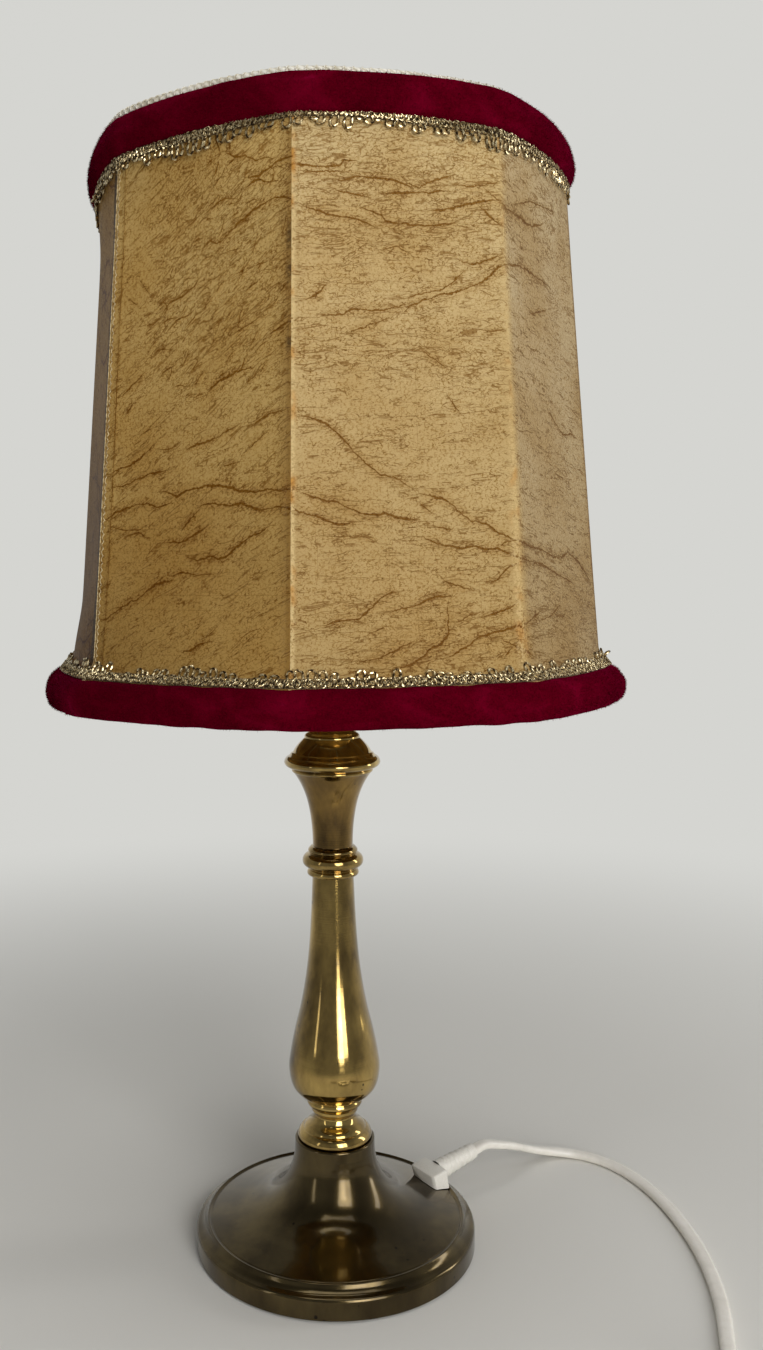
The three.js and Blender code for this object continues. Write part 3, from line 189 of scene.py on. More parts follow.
def eased(profile, radius=0.35, angle=22):
    """A profile with its sharp corners rounded, as a lathe tool and a polish leave them."""
    profile = np.asarray(profile, float)
    keep = np.concatenate([[True], np.linalg.norm(np.diff(profile, axis=0), axis=1) > 1e-4])
    profile = profile[keep]
    result = [profile[:1]]
    for before, corner, after in zip(profile, profile[1:], profile[2:]):
        u, v = before - corner, after - corner
        turn = math.degrees(math.acos(np.clip(np.dot(u, v) / np.linalg.norm(u) / np.linalg.norm(v), -1, 1)))
        if 180 - turn < angle:
            result.append(corner[None])
            continue
        a = corner + u / np.linalg.norm(u) * min(radius, 0.45 * np.linalg.norm(u))
        b = corner + v / np.linalg.norm(v) * min(radius, 0.45 * np.linalg.norm(v))
        result.append(bend(a, corner, b, steps=4))
    result.append(profile[-1:])
    return np.concatenate(result)


def outline_of(*strokes):
    """One profile of several strokes that start where the last one ends."""
    return np.concatenate([np.atleast_2d(np.asarray(s, float)) for s in strokes])


def turned(profile, z=0.0, sides=128, bore=None, thread=None, ease=0.35):
    """A turned piece: its profile of radius and height goes round the column's axis.
    A bore closes it inside. A thread is its pitch, depth, lowest and highest point."""
    profile = eased(profile, ease)
    if bore is not None:
        inner = [(bore, profile[-1][1]), (bore, profile[0][1]), profile[0]]
        profile = np.concatenate([profile, inner])
    turn = np.arange(sides) * TURN / sides
    radius = np.repeat(profile[:, :1], sides, 1)
    height = np.repeat(profile[:, 1:], sides, 1)
    if thread:
        pitch, depth, low, high = thread
        inside = smooth((height - low) / pitch) * smooth((high - height) / pitch)
        radius = radius + depth * np.cos(TURN * height / pitch - turn[None]) * inside
    points = np.stack([radius * np.cos(turn), radius * np.sin(turn), height + z], -1)
    return patch(points, wrap_columns=True)


def piece(name, patches, material, body, replaces=(), sharp=38, marks=None):
    """Joins patches to one piece that rides on a CAD body and stands for CAD nodes.
    Marks are numbers at its points that its finish reads."""
    if isinstance(patches, tuple):
        patches = [patches]
    points, faces, lay, start = [], [], [], 0
    for p, f, l in patches:
        points.append(p)
        faces.append(f + start)
        lay.append(l.reshape(-1, 2))
        start += len(p)
    points, faces, lay = np.concatenate(points), np.concatenate(faces), np.concatenate(lay)
    mesh = bpy.data.meshes.new(name)
    mesh.vertices.add(len(points))
    mesh.vertices.foreach_set("co", (points * MM).ravel())
    mesh.loops.add(faces.size)
    mesh.loops.foreach_set("vertex_index", faces.ravel())
    mesh.polygons.add(len(faces))
    mesh.polygons.foreach_set("loop_start", np.arange(len(faces)) * 4)
    mesh.update(calc_edges=True)
    mesh.uv_layers.new(name="lay").data.foreach_set("uv", (lay * MM).ravel())
    for key, values in (marks or {}).items():
        kind, field = ("FLOAT_VECTOR", "vector") if values.ndim > 1 else ("FLOAT", "value")
        mesh.attributes.new(key, kind, "POINT").data.foreach_set(field, values.ravel())
    mesh.validate()
    mesh.shade_smooth()
    mesh.set_sharp_from_angle(angle=math.radians(sharp))
    mesh.materials.append(material)
    made = bpy.data.objects.new(name, mesh)
    bpy.context.scene.collection.objects.link(made)
    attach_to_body(made, body)
    if replaces:
        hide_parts(*([replaces] if isinstance(replaces, str) else replaces))
    return made


# Finishes

def linear(colour):
    """An sRGB hex colour as linear red, green, blue and alpha."""
    parts = [int(colour[i:i + 2], 16) / 255 for i in (1, 3, 5)]
    return [p / 12.92 if p <= 0.04045 else ((p + 0.055) / 1.055) ** 2.4 for p in parts] + [1.0]


def add_node(owner, kind, inputs=None, stops=None, out=0, **settings):
    """Adds a node to a material or to the world, and gives one of its outputs, or all where out is None.
    Its inputs take a value or another node's output, and a colour ramp takes its stops."""
    node = owner.node_tree.nodes.new("ShaderNode" + kind)
    for key, value in settings.items():
        setattr(node, key, value)
    for key, value in (inputs or {}).items():
        if isinstance(value, bpy.types.NodeSocket):
            owner.node_tree.links.new(value, node.inputs[key])
        else:
            node.inputs[key].default_value = linear(value) if isinstance(value, str) else value
    if stops:
        ramp = node.color_ramp.elements
        while len(ramp) < len(stops):
            ramp.new(0.5)
        for element, (position, colour) in zip(ramp, stops):
            element.position = position
            element.color = linear(colour)
    return node.outputs if out is None else node.outputs[out]


def finish(name, colour, roughness, **sockets):
    """A material with constants straight on its shader."""
    material = bpy.data.materials.new(name)
    material.use_nodes = True
    shader = material.node_tree.nodes["Principled BSDF"]
    shader.inputs["Base Color"].default_value = linear(colour)
    shader.inputs["Roughness"].default_value = roughness
    for key, value in sockets.items():
        shader.inputs[key.replace("_", " ")].default_value = linear(value) if isinstance(value, str) else value
    return material, shader


def attach(material, shader, **outputs):
    """Links nodes' outputs to the shader's own inputs."""
    for key, output in outputs.items():
        material.node_tree.links.new(output, shader.inputs[key.replace("_", " ")])


def scaled_place(material, scale=(1, 1, 1), location=(0, 0, 0)):
    """Object coordinates in metres, times a scale for each axis."""
    where = add_node(material, "TexCoord", out="Object")
    return add_node(material, "Mapping", {"Vector": where, "Scale": scale, "Location": location})


def lathe_place(material):
    """Distance from the axis and height, so that a pattern on them runs round a turned piece."""
    x, y, z = add_node(material, "SeparateXYZ", {0: add_node(material, "TexCoord", out="Object")}, out=None)
    flat = add_node(material, "CombineXYZ", {"X": x, "Y": y})
    radius = add_node(material, "VectorMath", {0: flat}, out="Value", operation="LENGTH")
    return add_node(material, "CombineXYZ", {"X": radius, "Y": z})


def aged_brass(name, bright, dull, dark, roughness, wear, line_depth, lacquer=0.5):
    """Turned brass under old lacquer: warm metal with darker clouds about 25 mm across, black pits up to
    2 mm where the lacquer broke, and the lathe's rings, which blur reflections a little across the piece.
    The rings are drawn about 0.6 mm apart, coarser than real ones, so that they show."""
    material, shader = finish(name, bright, roughness, Metallic=1.0, Coat_Weight=lacquer, Coat_Roughness=0.05)
    clouds = add_node(material, "TexNoise", {
        "Vector": scaled_place(material, (1, 1, 0.45)), "Scale": 42, "Detail": 7, "Roughness": 0.62,
    })
    cover = add_node(material, "ValToRGB", {"Fac": clouds}, [
        (0.36, bright), (0.36 + wear, dull), (min(0.40 + 2 * wear, 0.98), dark),
    ])
    pits = add_node(material, "TexVoronoi", {
        "Vector": scaled_place(material, (1, 1, 0.8)), "Scale": 300, "Randomness": 1.0,
    })
    patches = add_node(material, "TexNoise", {
        "Vector": scaled_place(material, location=(3, 1, 7)), "Scale": 55, "Detail": 2,
    })
    size = add_node(material, "MapRange", {
        "Value": patches, "From Min": 0.54, "From Max": 0.74, "To Min": 0.0, "To Max": 0.3,
    })
    pitted = add_node(material, "Math", {0: pits, 1: size}, operation="LESS_THAN")
    colour = add_node(material, "Mix", {"Factor": pitted, "A": cover, "B": "#1d150b"}, out=2, data_type="RGBA")
    rings = add_node(material, "TexNoise", {
        "Vector": lathe_place(material), "Scale": 1800, "Detail": 2,
    }, noise_dimensions="2D")
    rough = add_node(material, "MapRange", {
        "Value": clouds, "From Min": 0.3, "From Max": 0.7,
        "To Min": roughness * 0.72, "To Max": roughness * 1.5,
    })
    turned_lines = add_node(material, "Bump", {"Height": rings, "Strength": 0.35, "Distance": line_depth * MM})
    dents = add_node(material, "Bump", {
        "Height": clouds, "Strength": 0.25, "Distance": 0.25 * MM, "Normal": turned_lines,
    })
    attach(material, shader, Base_Color=colour, Roughness=rough, Normal=dents)
    return material


def plated_steel():
    """Zinc plated steel wire: dull grey with a faint cloudy spangle about 4 mm across and a few rust specks."""
    zinc = "#9d9d98"
    material, shader = finish("frame_wire_zinc_plated", zinc, 0.42, Metallic=1.0)
    clouds = add_node(material, "TexNoise", {"Vector": scaled_place(material), "Scale": 260, "Detail": 5})
    colour = add_node(material, "ValToRGB", {"Fac": clouds}, [
        (0.3, "#7d7c78"), (0.55, zinc), (0.72, "#b4b2ab"), (0.8, "#7a5a3c"),
    ])
    bump = add_node(material, "Bump", {"Height": clouds, "Strength": 0.2, "Distance": 0.1 * MM})
    attach(material, shader, Base_Color=colour, Normal=bump)
    return material


def parchment():
    """Goatskin parchment, limed, stretched and varnished: a satin skin with a pebbled grain, cracked brown
    along the creases where it was folded, and rubbed pale orange where it bends over a wire."""
    material, shader = finish("cover_parchment_varnished", "#ab9062", 0.5, Specular_IOR_Level=0.08)
    place = scaled_place(material)
    patches = add_node(material, "TexNoise", {"Vector": place, "Scale": 110, "Detail": 2})
    mottle = add_node(material, "TexNoise", {
        "Vector": place, "Scale": 1050, "Detail": 2.5, "Roughness": 0.65,
    })
    clouds = add_node(material, "TexNoise", {"Vector": place, "Scale": 24, "Detail": 4})

    # Distance to the nearest crease, shaken by up to 1.4 mm so that each runs as a ragged crack
    stray = 1.4
    shake = add_node(material, "TexNoise", {
        "Vector": place, "Scale": 330, "Detail": 3.0, "Roughness": 0.72,
    }, out="Color")
    nearest = None
    for name in ("crease_a", "crease_b", "crease_c"):
        mark = add_node(material, "Attribute", out="Vector", attribute_name=name)
        steady = add_node(material, "VectorMath", {0: mark, 1: (stray,) * 3}, operation="SUBTRACT")
        shaken = add_node(material, "VectorMath", {
            0: shake, 1: (2 * stray,) * 3, 2: steady,
        }, operation="MULTIPLY_ADD")
        size = add_node(material, "VectorMath", {0: shaken}, operation="ABSOLUTE")
        for part in add_node(material, "SeparateXYZ", {0: size}, out=None):
            nearest = part if nearest is None else add_node(
                material, "Math", {0: nearest, 1: part}, operation="MINIMUM",
            )
    width = add_node(material, "MapRange", {
        "Value": patches, "From Min": 0.36, "From Max": 0.64, "To Min": 0.26, "To Max": 0.62,
    })
    cracked = add_node(material, "Math", {0: nearest, 1: width}, operation="DIVIDE")

    # Shares from 0 to 1, each eased from one value to another
    height = add_node(material, "SeparateXYZ", {0: add_node(material, "TexCoord", out="Object")}, out="Z")
    crack, beside, foot, cloudy, speck, mesh, smeared, rubbed = [
        add_node(material, "MapRange", {
            "Value": value, "From Min": start, "From Max": end,
        }, interpolation_type="SMOOTHSTEP")
        for value, start, end in (
            (cracked, 1.2, 0.55), (nearest, 4.5, 0.4), (height, (SHADE_Z + 200) * MM, (SHADE_Z + 10) * MM),
            (clouds, 0.35, 0.7), (mottle, 0.50, 0.66), (mottle, 0.36, 0.56), (mottle, 0.3, 0.5),
            (patches, 0.5, 0.66),
        )
    ]

    # Fine wrinkles, about 3 and 2 mm apart, follow the way each part of the skin was stretched
    flow = add_node(material, "Attribute", out="Vector", attribute_name="flow")
    density = add_node(material, "Math", {
        0: add_node(material, "SeparateXYZ", {0: flow}, out="Z"),
        1: add_node(material, "Math", {0: beside, 1: 0.55}, operation="MULTIPLY"),
    }, operation="ADD")
    wrinkles = None
    for scale, bare, shift, thickness in (
        ((0.08, 0.34, 0), 0.60, (0, 0, 0), 0.026), ((0.15, 0.58, 0), 0.58, (5, 9, 0), 0.036),
    ):
        stretched = add_node(material, "Mapping", {"Vector": flow, "Scale": scale, "Location": shift})
        swell = add_node(material, "TexNoise", {
            "Vector": stretched, "Scale": 1.0, "Detail": 2.2, "Roughness": 0.5, "Distortion": 0.6,
        }, noise_dimensions="2D")
        middle = add_node(material, "Math", {0: swell, 1: 0.5}, operation="SUBTRACT")
        line = add_node(material, "MapRange", {
            "Value": add_node(material, "Math", {0: middle, 1: 0}, operation="ABSOLUTE"),
            "From Min": thickness, "From Max": thickness * 0.35,
        }, interpolation_type="SMOOTHSTEP")
        there = add_node(material, "TexNoise", {
            "Vector": stretched, "Scale": 0.55, "Detail": 1.5,
        }, noise_dimensions="2D")
        denser = add_node(material, "Math", {0: density, 1: 0.3}, operation="MULTIPLY")
        there = add_node(material, "MapRange", {
            "Value": add_node(material, "Math", {0: there, 1: denser}, operation="ADD"),
            "From Min": bare, "From Max": bare + 0.12,
        }, interpolation_type="SMOOTHSTEP")
        line = add_node(material, "Math", {0: line, 1: there}, operation="MULTIPLY")
        wrinkles = line if wrinkles is None else add_node(
            material, "Math", {0: wrinkles, 1: line}, operation="MAXIMUM",
        )

    # Grain: a net of pebbles about 1 mm across, drawn out a little the way the skin was stretched
    fine = add_node(material, "Mapping", {"Vector": flow, "Scale": (0.62, 1.05, 0)})
    bent = add_node(material, "TexNoise", {
        "Vector": fine, "Scale": 0.9, "Detail": 2,
    }, out="Color", noise_dimensions="2D")
    bent = add_node(material, "VectorMath", {0: bent, 1: (1.3, 1.3, 0), 2: fine}, operation="MULTIPLY_ADD")
    net = add_node(material, "TexVoronoi", {
        "Vector": bent, "Scale": 1.0, "Randomness": 1.0,
    }, voronoi_dimensions="2D", feature="DISTANCE_TO_EDGE")
    net = add_node(material, "MapRange", {
        "Value": net, "From Min": 0.13, "From Max": 0.02,
    }, interpolation_type="SMOOTHSTEP")
    pebble = add_node(material, "Math", {0: net, 1: mesh}, operation="MULTIPLY")
    # The fold mark holds the worn folds, painted shade and the smudges
    worn, dark, smudge_and_seam_shade = add_node(material, "SeparateXYZ", {
        0: add_node(material, "Attribute", out="Vector", attribute_name="fold"),
    }, out=None)
    broken, flaking = [
        add_node(material, "MapRange", {
            "Value": add_node(material, "Math", {
                0: value, 1: add_node(material, "Math", {0: extra, 1: share}, operation="MULTIPLY"),
            }, operation="ADD"),
            "From Min": start, "From Max": end,
        }, interpolation_type="SMOOTHSTEP")
        for value, extra, share, start, end in (
            (patches, density, 0.12, 0.42, 0.66), (mottle, worn, 0.1, 0.48, 0.66),
        )
    ]
    broken = add_node(material, "Math", {0: broken, 1: 0.65}, operation="MAXIMUM")
    lines = add_node(material, "Math", {
        0: add_node(material, "Math", {0: crack, 1: 0.95}, operation="MULTIPLY"),
        1: add_node(material, "Math", {0: wrinkles, 1: 0.72}, operation="MULTIPLY"),
    }, operation="MAXIMUM")

    # Colour: the bare skin, then painted shade darker towards the bottom, clouds, specks, pebbles, painted shade
    # round the creases, browned creases and cracks, and on the folds the rubbed skin, the glow of its wear, painted
    # shade beside the ribs and low down, and the smudges, which on the sliver's lapped edge are painted shade
    # The last stop, the sliver's, is a darker and browner copy of the skin: painted shade for a panel seen edge on
    colour = add_node(material, "ValToRGB", {
        "Fac": add_node(material, "Attribute", out="Fac", attribute_name="tone"),
    }, [(0.0, "#c1a367"), (0.5, "#c3ab7b"), (0.8, "#b6a27d"), (1.0, "#b08c50")])
    for share, part, paint, how in (
        # painted shade: darker towards the bottom of the shade
        (foot, None, "#e4dccb", "MULTIPLY"),
        (cloudy, None, "#ebe1cd", "MULTIPLY"),
        (speck, 0.5, "#d3c094", "MULTIPLY"),
        (pebble, broken, "#c2ab7c", "MULTIPLY"),
        # painted shade round the creases
        (beside, 0.3, "#dfcca2", "MULTIPLY"),
        (lines, None, "#a98944", "MULTIPLY"),
        (worn, flaking, "#cbb07c", "MIX"),
        (worn, rubbed, "#ecc68c", "MULTIPLY"),
        # painted shade beside the folds and low down
        (dark, None, "#b7a78a", "MULTIPLY"),
        # smudges, and on the sliver painted shade along the lapped seam
        (smudge_and_seam_shade, smeared, "#41301b", "MIX"),
    ):
        if part is not None:
            share = add_node(material, "Math", {0: share, 1: part}, operation="MULTIPLY")
        colour = add_node(material, "Mix", {
            "Factor": share, "A": colour, "B": paint,
        }, out=2, data_type="RGBA", blend_type=how)

    relief = crack
    for groove, depth in ((wrinkles, 0.7), (pebble, 0.4)):
        groove = add_node(material, "Math", {0: groove, 1: depth}, operation="MULTIPLY")
        relief = add_node(material, "Math", {0: relief, 1: groove}, operation="MAXIMUM")
    relief = add_node(material, "Math", {
        0: add_node(material, "Math", {0: mottle, 1: 0.3}, operation="MULTIPLY"), 1: relief,
    }, operation="SUBTRACT")
    bump = add_node(material, "Bump", {"Height": relief, "Strength": 0.55, "Distance": 0.22 * MM})
    swell = add_node(material, "Bump", {
        "Height": beside, "Strength": 0.3, "Distance": 0.5 * MM, "Normal": bump,
    })
    rough = add_node(material, "MapRange", {"Value": mottle, "To Min": 0.42, "To Max": 0.66})
    attach(material, shader, Base_Color=colour, Roughness=rough, Normal=swell)
    return material


def velvet():
    """Cotton velvet: a deep crimson pile that drinks the light face on and glows pink at a glance,
    with paler strokes 20 mm wide where the nap was brushed over. The pile's own grain is 0.5 mm, coarser
    than real pile, so that it shows."""
    material, shader = finish(
        "band_velvet_woven", "#46010a", 0.92,
        Sheen_Weight=0.16, Sheen_Roughness=0.35, Sheen_Tint="#d0206a", Specular_IOR_Level=0.0,
    )
    place = scaled_place(material, (1, 1, 1.6))
    nap = add_node(material, "TexNoise", {
        "Vector": place, "Scale": 46, "Detail": 5, "Roughness": 0.6, "Distortion": 0.8,
    })
    pile = add_node(material, "TexNoise", {"Vector": place, "Scale": 1900, "Detail": 2})
    strokes = add_node(material, "ValToRGB", {"Fac": nap}, [
        (0.30, "#330006"), (0.50, "#48000d"), (0.68, "#60021a"), (0.80, "#800c36"),
    ])
    tips = add_node(material, "MapRange", {
        "Value": pile, "From Min": 0.3, "From Max": 0.72, "To Min": 0.0, "To Max": 0.55,
    })
    colour = add_node(material, "Mix", {"Factor": tips, "A": strokes, "B": "#640019"}, out=2, data_type="RGBA")
    bump = add_node(material, "Bump", {"Height": pile, "Strength": 0.6, "Distance": 0.35 * MM})
    attach(material, shader, Base_Color=colour, Normal=bump)
    return material


def foil_thread():
    """Gimp thread: flat metal foil wound round a yarn, with painted glints: pale spots in its colour that stand
    in for its sparkle. The brown yarn shows between its turns. The turns are drawn about 3 mm long, coarser
    than real ones, so that they show."""
    foil = "#8d7449"
    material, shader = finish("gimp_thread_foil_wound", foil, 0.3, Metallic=0.9)
    lay = add_node(material, "UVMap", uv_map="lay")
    wound = add_node(material, "TexWave", {
        "Vector": lay, "Scale": 230, "Distortion": 3.0, "Detail": 2.0, "Detail Scale": 2.0,
    }, out="Fac", wave_type="BANDS", bands_direction="DIAGONAL")
    # Painted glints: pale spots in the foil's colour
    painted_glints = add_node(material, "TexNoise", {
        "Vector": scaled_place(material), "Scale": 1000, "Detail": 2, "Roughness": 0.7,
    })
    shine = add_node(material, "Math", {0: wound, 1: 0.35, 2: painted_glints}, operation="MULTIPLY_ADD")
    colour = add_node(material, "ValToRGB", {"Fac": shine}, [
        (0.48, "#2b2016"), (0.66, foil), (0.82, "#ead9ae"),
    ])
    rough = add_node(material, "MapRange", {
        "Value": shine, "From Min": 0.45, "From Max": 0.85, "To Min": 0.62, "To Max": 0.2,
    })
    bump = add_node(material, "Bump", {"Height": wound, "Strength": 0.7, "Distance": 0.08 * MM})
    attach(material, shader, Base_Color=colour, Roughness=rough, Normal=bump)
    return material


def linen():
    """Waxed linen thread: pale straw, matt, darker in the twist, which is about 1 mm long."""
    material, shader = finish("seam_linen_waxed", "#c4ad7c", 0.7)
    twist = add_node(material, "TexNoise", {"Vector": scaled_place(material), "Scale": 900, "Detail": 2})
    colour = add_node(material, "ValToRGB", {"Fac": twist}, [(0.35, "#7c6136"), (0.6, "#cdb98c")])
    attach(material, shader, Base_Color=colour)
    return material


def shaded_yarn_ground():
    """Brown viscose yarn of the braid's ground, darkened with painted shade for the threads over it: matt, with a
    close knitted grain, about 0.7 mm across.
    """
    material, shader = finish("braid_ground_yarn_painted_shade", "#43331f", 0.85)
    grain = add_node(material, "TexNoise", {"Vector": scaled_place(material), "Scale": 1500, "Detail": 2})
    colour = add_node(material, "ValToRGB", {"Fac": grain}, [(0.35, "#2c2013"), (0.65, "#6a5334")])
    bump = add_node(material, "Bump", {"Height": grain, "Strength": 0.8, "Distance": 0.2 * MM})
    attach(material, shader, Base_Color=colour, Normal=bump)
    return material


def woven_tape():
    """Cotton twill tape: matt off-white, with slanting ribs, yellowed a little in patches. The ribs are
    drawn about 2 mm apart, coarser than real ones, so that they show."""
    material, shader = finish("tape_cotton_woven", "#d9d3c3", 0.95, Sheen_Weight=0.15)
    lay = add_node(material, "UVMap", uv_map="lay")
    ribs = add_node(material, "TexWave", {
        "Vector": lay, "Scale": 200, "Distortion": 0.6, "Detail": 1.0,
    }, out="Fac", wave_type="BANDS", bands_direction="DIAGONAL")
    age = add_node(material, "TexNoise", {"Vector": scaled_place(material), "Scale": 60, "Detail": 4})
    shade = add_node(material, "Math", {0: ribs, 1: 0.3, 2: age}, operation="MULTIPLY_ADD")
    colour = add_node(material, "ValToRGB", {"Fac": shade}, [
        (0.45, "#b9b09a"), (0.62, "#d6d0bf"), (0.8, "#e6e2d6"),
    ])
    bump = add_node(material, "Bump", {"Height": ribs, "Strength": 0.8, "Distance": 0.2 * MM})
    attach(material, shader, Base_Color=colour, Normal=bump)
    return material


def grained(name, colours, roughness, scale, depth, stretch=(1, 1, 1), detail=4.0, **sockets):
    """A finish whose colour and small relief both come from one grain, so many to a metre."""
    material, shader = finish(name, colours[1][1], roughness, **sockets)
    grain = add_node(material, "TexNoise", {
        "Vector": scaled_place(material, stretch), "Scale": scale, "Detail": detail, "Roughness": 0.6,
    })
    colour = add_node(material, "ValToRGB", {"Fac": grain}, colours)
    rough = add_node(material, "MapRange", {
        "Value": grain, "From Min": 0.3, "From Max": 0.7,
        "To Min": roughness * 0.85, "To Max": min(roughness * 1.2, 1.0),
    })
    bump = add_node(material, "Bump", {"Height": grain, "Strength": 0.6, "Distance": depth * MM})
    attach(material, shader, Base_Color=colour, Roughness=rough, Normal=bump)
    return material


column_brass = aged_brass("column_brass_turned", "#cfb066", "#a0854a", "#3d2c14", 0.09, 0.14, 0.02)
# A darker copy of the column's brass for the flare: partly its coarser, mottled patina, partly a painted dark
# reflection of what lies below it
darker_flare_brass = aged_brass("flare_metal_patina_and_painted_reflection", "#be9b52", "#8c6e36", "#372610", 0.11, 0.15, 0.03)
base_brass = aged_brass("base_brass_tarnished", "#635536", "#483c24", "#2d2412", 0.15, 0.2, 0.02, 0.3)
holder_brass = aged_brass("holder_brass_drawn", "#d2b070", "#a98b52", "#6b522c", 0.28, 0.2, 0.015)
wire_steel = plated_steel()
cover_parchment = parchment()
band_velvet = velvet()
seam_linen = linen()
gimp_thread = foil_thread()
shaded_gimp_ground = shaded_yarn_ground()
tape_cotton = woven_tape()
# Extruded PVC: glossy white sheath, with a slight grey bloom from handling in patches of about 7 mm
flex_pvc = grained(
    "flex_pvc_extruded", [(0.3, "#e2ddd2"), (0.55, "#ebe6dc"), (0.75, "#efebe3")], 0.2, 150, 0.02,
)
# Injection moulded thermoplastic: white gone faintly ivory, with a fine spark-eroded texture
fitting_plastic = grained(
    "fitting_plastic_moulded", [(0.35, "#d9d4c8"), (0.5, "#e2ded4"), (0.7, "#e8e5dd")], 0.36, 2600, 0.03,
)
# Moulded nylon strap: milky, with a satin face
strap_nylon = grained(
    "tie_nylon_moulded", [(0.35, "#c9c6bc"), (0.5, "#d8d5cc"), (0.7, "#dedcd4")], 0.45, 900, 0.05,
)
# Opal glass, blown and flashed inside: an even milk white under a clear gloss
opal_glass = grained(
    "bulb_glass_opal_blown", [(0.3, "#eeece4"), (0.5, "#f2f0ea"), (0.7, "#f4f3ee")], 0.1, 40, 0.02,
    Coat_Weight=0.6, Coat_Roughness=0.03,
)
# Nickel plate on rolled brass: grey, a little yellow, with fine rubbed marks round the thread
cap_nickel = grained(
    "bulb_cap_nickel_plated", [(0.3, "#a5a196"), (0.5, "#c0bcb0"), (0.7, "#cfccc2")], 0.28, 700, 0.03,
    (1, 1, 4), Metallic=1.0,
)
# Pressed and glazed steatite: cream, with pinholes in the glaze
insulator_ceramic = grained(
    "insulator_steatite_glazed", [(0.28, "#a89f8b"), (0.36, "#e2ddce"), (0.7, "#e9e5d9")], 0.28, 900, 0.04,
)
# Wool felt, needled and dyed: matt green with pale fibres on its face
pad_felt = grained(
    "pad_felt_needled", [(0.3, "#27331f"), (0.5, "#3d4b33"), (0.72, "#6a7558")], 0.97, 1700, 0.4,
    (1, 1, 2.5), 5.0,
)
# Fibreboard, pressed from pulp: brown, matt, with lighter fibres lying flat
disc_fibreboard = grained(
    "disc_fibreboard_pressed", [(0.3, "#4c3d2c"), (0.5, "#6d5a43"), (0.7, "#8d7a60")], 0.92, 1300, 0.2,
    (1, 2.2, 3),
)
# Sand cast iron, bare: dark grey skin with the sand's grain and rust in the hollows
weight_iron = grained(
    "weight_iron_sand_cast", [(0.3, "#5b3a26"), (0.42, "#3f3e3c"), (0.7, "#57565a")], 0.72, 420, 0.5,
    Metallic=0.5,
)


# Camera at the photograph's viewing angle: 50 cm in front and 29 cm up, level with the lower part of
# the shade, turned to its left. The shift is what the photograph's framing needs for that turn.

CAMERA_AT = (0.0186, -0.5, 0.2919)
CAMERA_TURN = 0.0534
CAMERA_TILT = 0.0843
CAMERA_ROLL = -0.0084
CAMERA_LENS = 31.53
CAMERA_SHIFT = 0.0511

camera_data = bpy.data.cameras.new("camera")
camera_data.sensor_fit = "VERTICAL"
camera_data.sensor_height = 36
camera_data.lens = CAMERA_LENS
camera_data.shift_x = CAMERA_SHIFT
camera = bpy.data.objects.new("camera", camera_data)
camera.matrix_world = (
    Matrix.Translation(CAMERA_AT)
    @ Matrix.Rotation(CAMERA_TURN, 4, "Z")
    @ Matrix.Rotation(math.pi / 2 - CAMERA_TILT, 4, "X")
    @ Matrix.Rotation(CAMERA_ROLL, 4, "Z")
)
bpy.context.scene.collection.objects.link(camera)
bpy.context.scene.camera = camera


# Flex: one length from the bushing through the switch to the coil and the plug

FLEX_WIDTH = 6.0
FLEX_THICKNESS = 3.8
FLEX_LOW = FLEX_THICKNESS / 2 + 0.1
FLEX_STEP = 2.0
BUSHING_AT = np.array([42.71, 23.19, 17.4])
BUSHING_TURN = math.radians(38)
BUSHING_RISE = math.radians(8)
BLOCK_HALF = 4.5
SLEEVE_LENGTH = 22
FLEX_AIM = np.array([0.7803, 0.6097, 0.1392])
SLEEVE_TIP = BUSHING_AT + FLEX_AIM * (BLOCK_HALF + SLEEVE_LENGTH)
SWITCH_X = 145.5
SWITCH_Y = -142.0
SWITCH_SPLIT = 7.0
COIL_X = 78.0
COIL_Y = -172.0
COIL_RADIUS = 43.0
COIL_PITCH = 6.6
COIL_TURNS = 6
COIL_LAYER = 4.4
COIL_LOW = FLEX_THICKNESS / 2 + 1
TAIL_Y = COIL_Y - COIL_RADIUS
PLUG_Z = 6.95

run_points = [
    SLEEVE_TIP - FLEX_AIM * 4, SLEEVE_TIP + FLEX_AIM * 0.3, SLEEVE_TIP + FLEX_AIM * 7,
    (77, 49, 19.6), (84.5, 56.5, 15.4), (91, 64, 10.6), (98, 70.5, 6.4), (106, 75, 3.6),
    (115, 76, 2.2), (124, 73, FLEX_LOW), (132, 67, FLEX_LOW), (139, 58.5, FLEX_LOW),
    (145.5, 46, FLEX_LOW), (150.5, 31, FLEX_LOW), (154, 14, FLEX_LOW), (156.3, -6, FLEX_LOW),
    (156.3, -28, FLEX_LOW), (154, -50, FLEX_LOW), (149.6, -72, FLEX_LOW),
    (146.6, -88, FLEX_LOW + 0.6), (145.6, -99, SWITCH_SPLIT - 2),
    (SWITCH_X, -104.7, SWITCH_SPLIT), (SWITCH_X, -109.7, SWITCH_SPLIT),
]
link_points = [
    (SWITCH_X, -174.3, SWITCH_SPLIT), (SWITCH_X, -181, SWITCH_SPLIT), (142, -194, 4.6),
    (133, -206, 3), (120, -213, COIL_LOW), (104, TAIL_Y, COIL_LOW), (90, TAIL_Y, COIL_LOW),
    (84.3, TAIL_Y, COIL_LOW),
]
tail_points = [
    (71.7, TAIL_Y, COIL_LOW + COIL_LAYER), (66, TAIL_Y, COIL_LOW + COIL_LAYER),
    (52, TAIL_Y, (COIL_LOW + COIL_LAYER + PLUG_Z) / 2), (38.3, TAIL_Y, PLUG_Z),
    (32.3, TAIL_Y, PLUG_Z), (30, TAIL_Y, PLUG_Z),
]


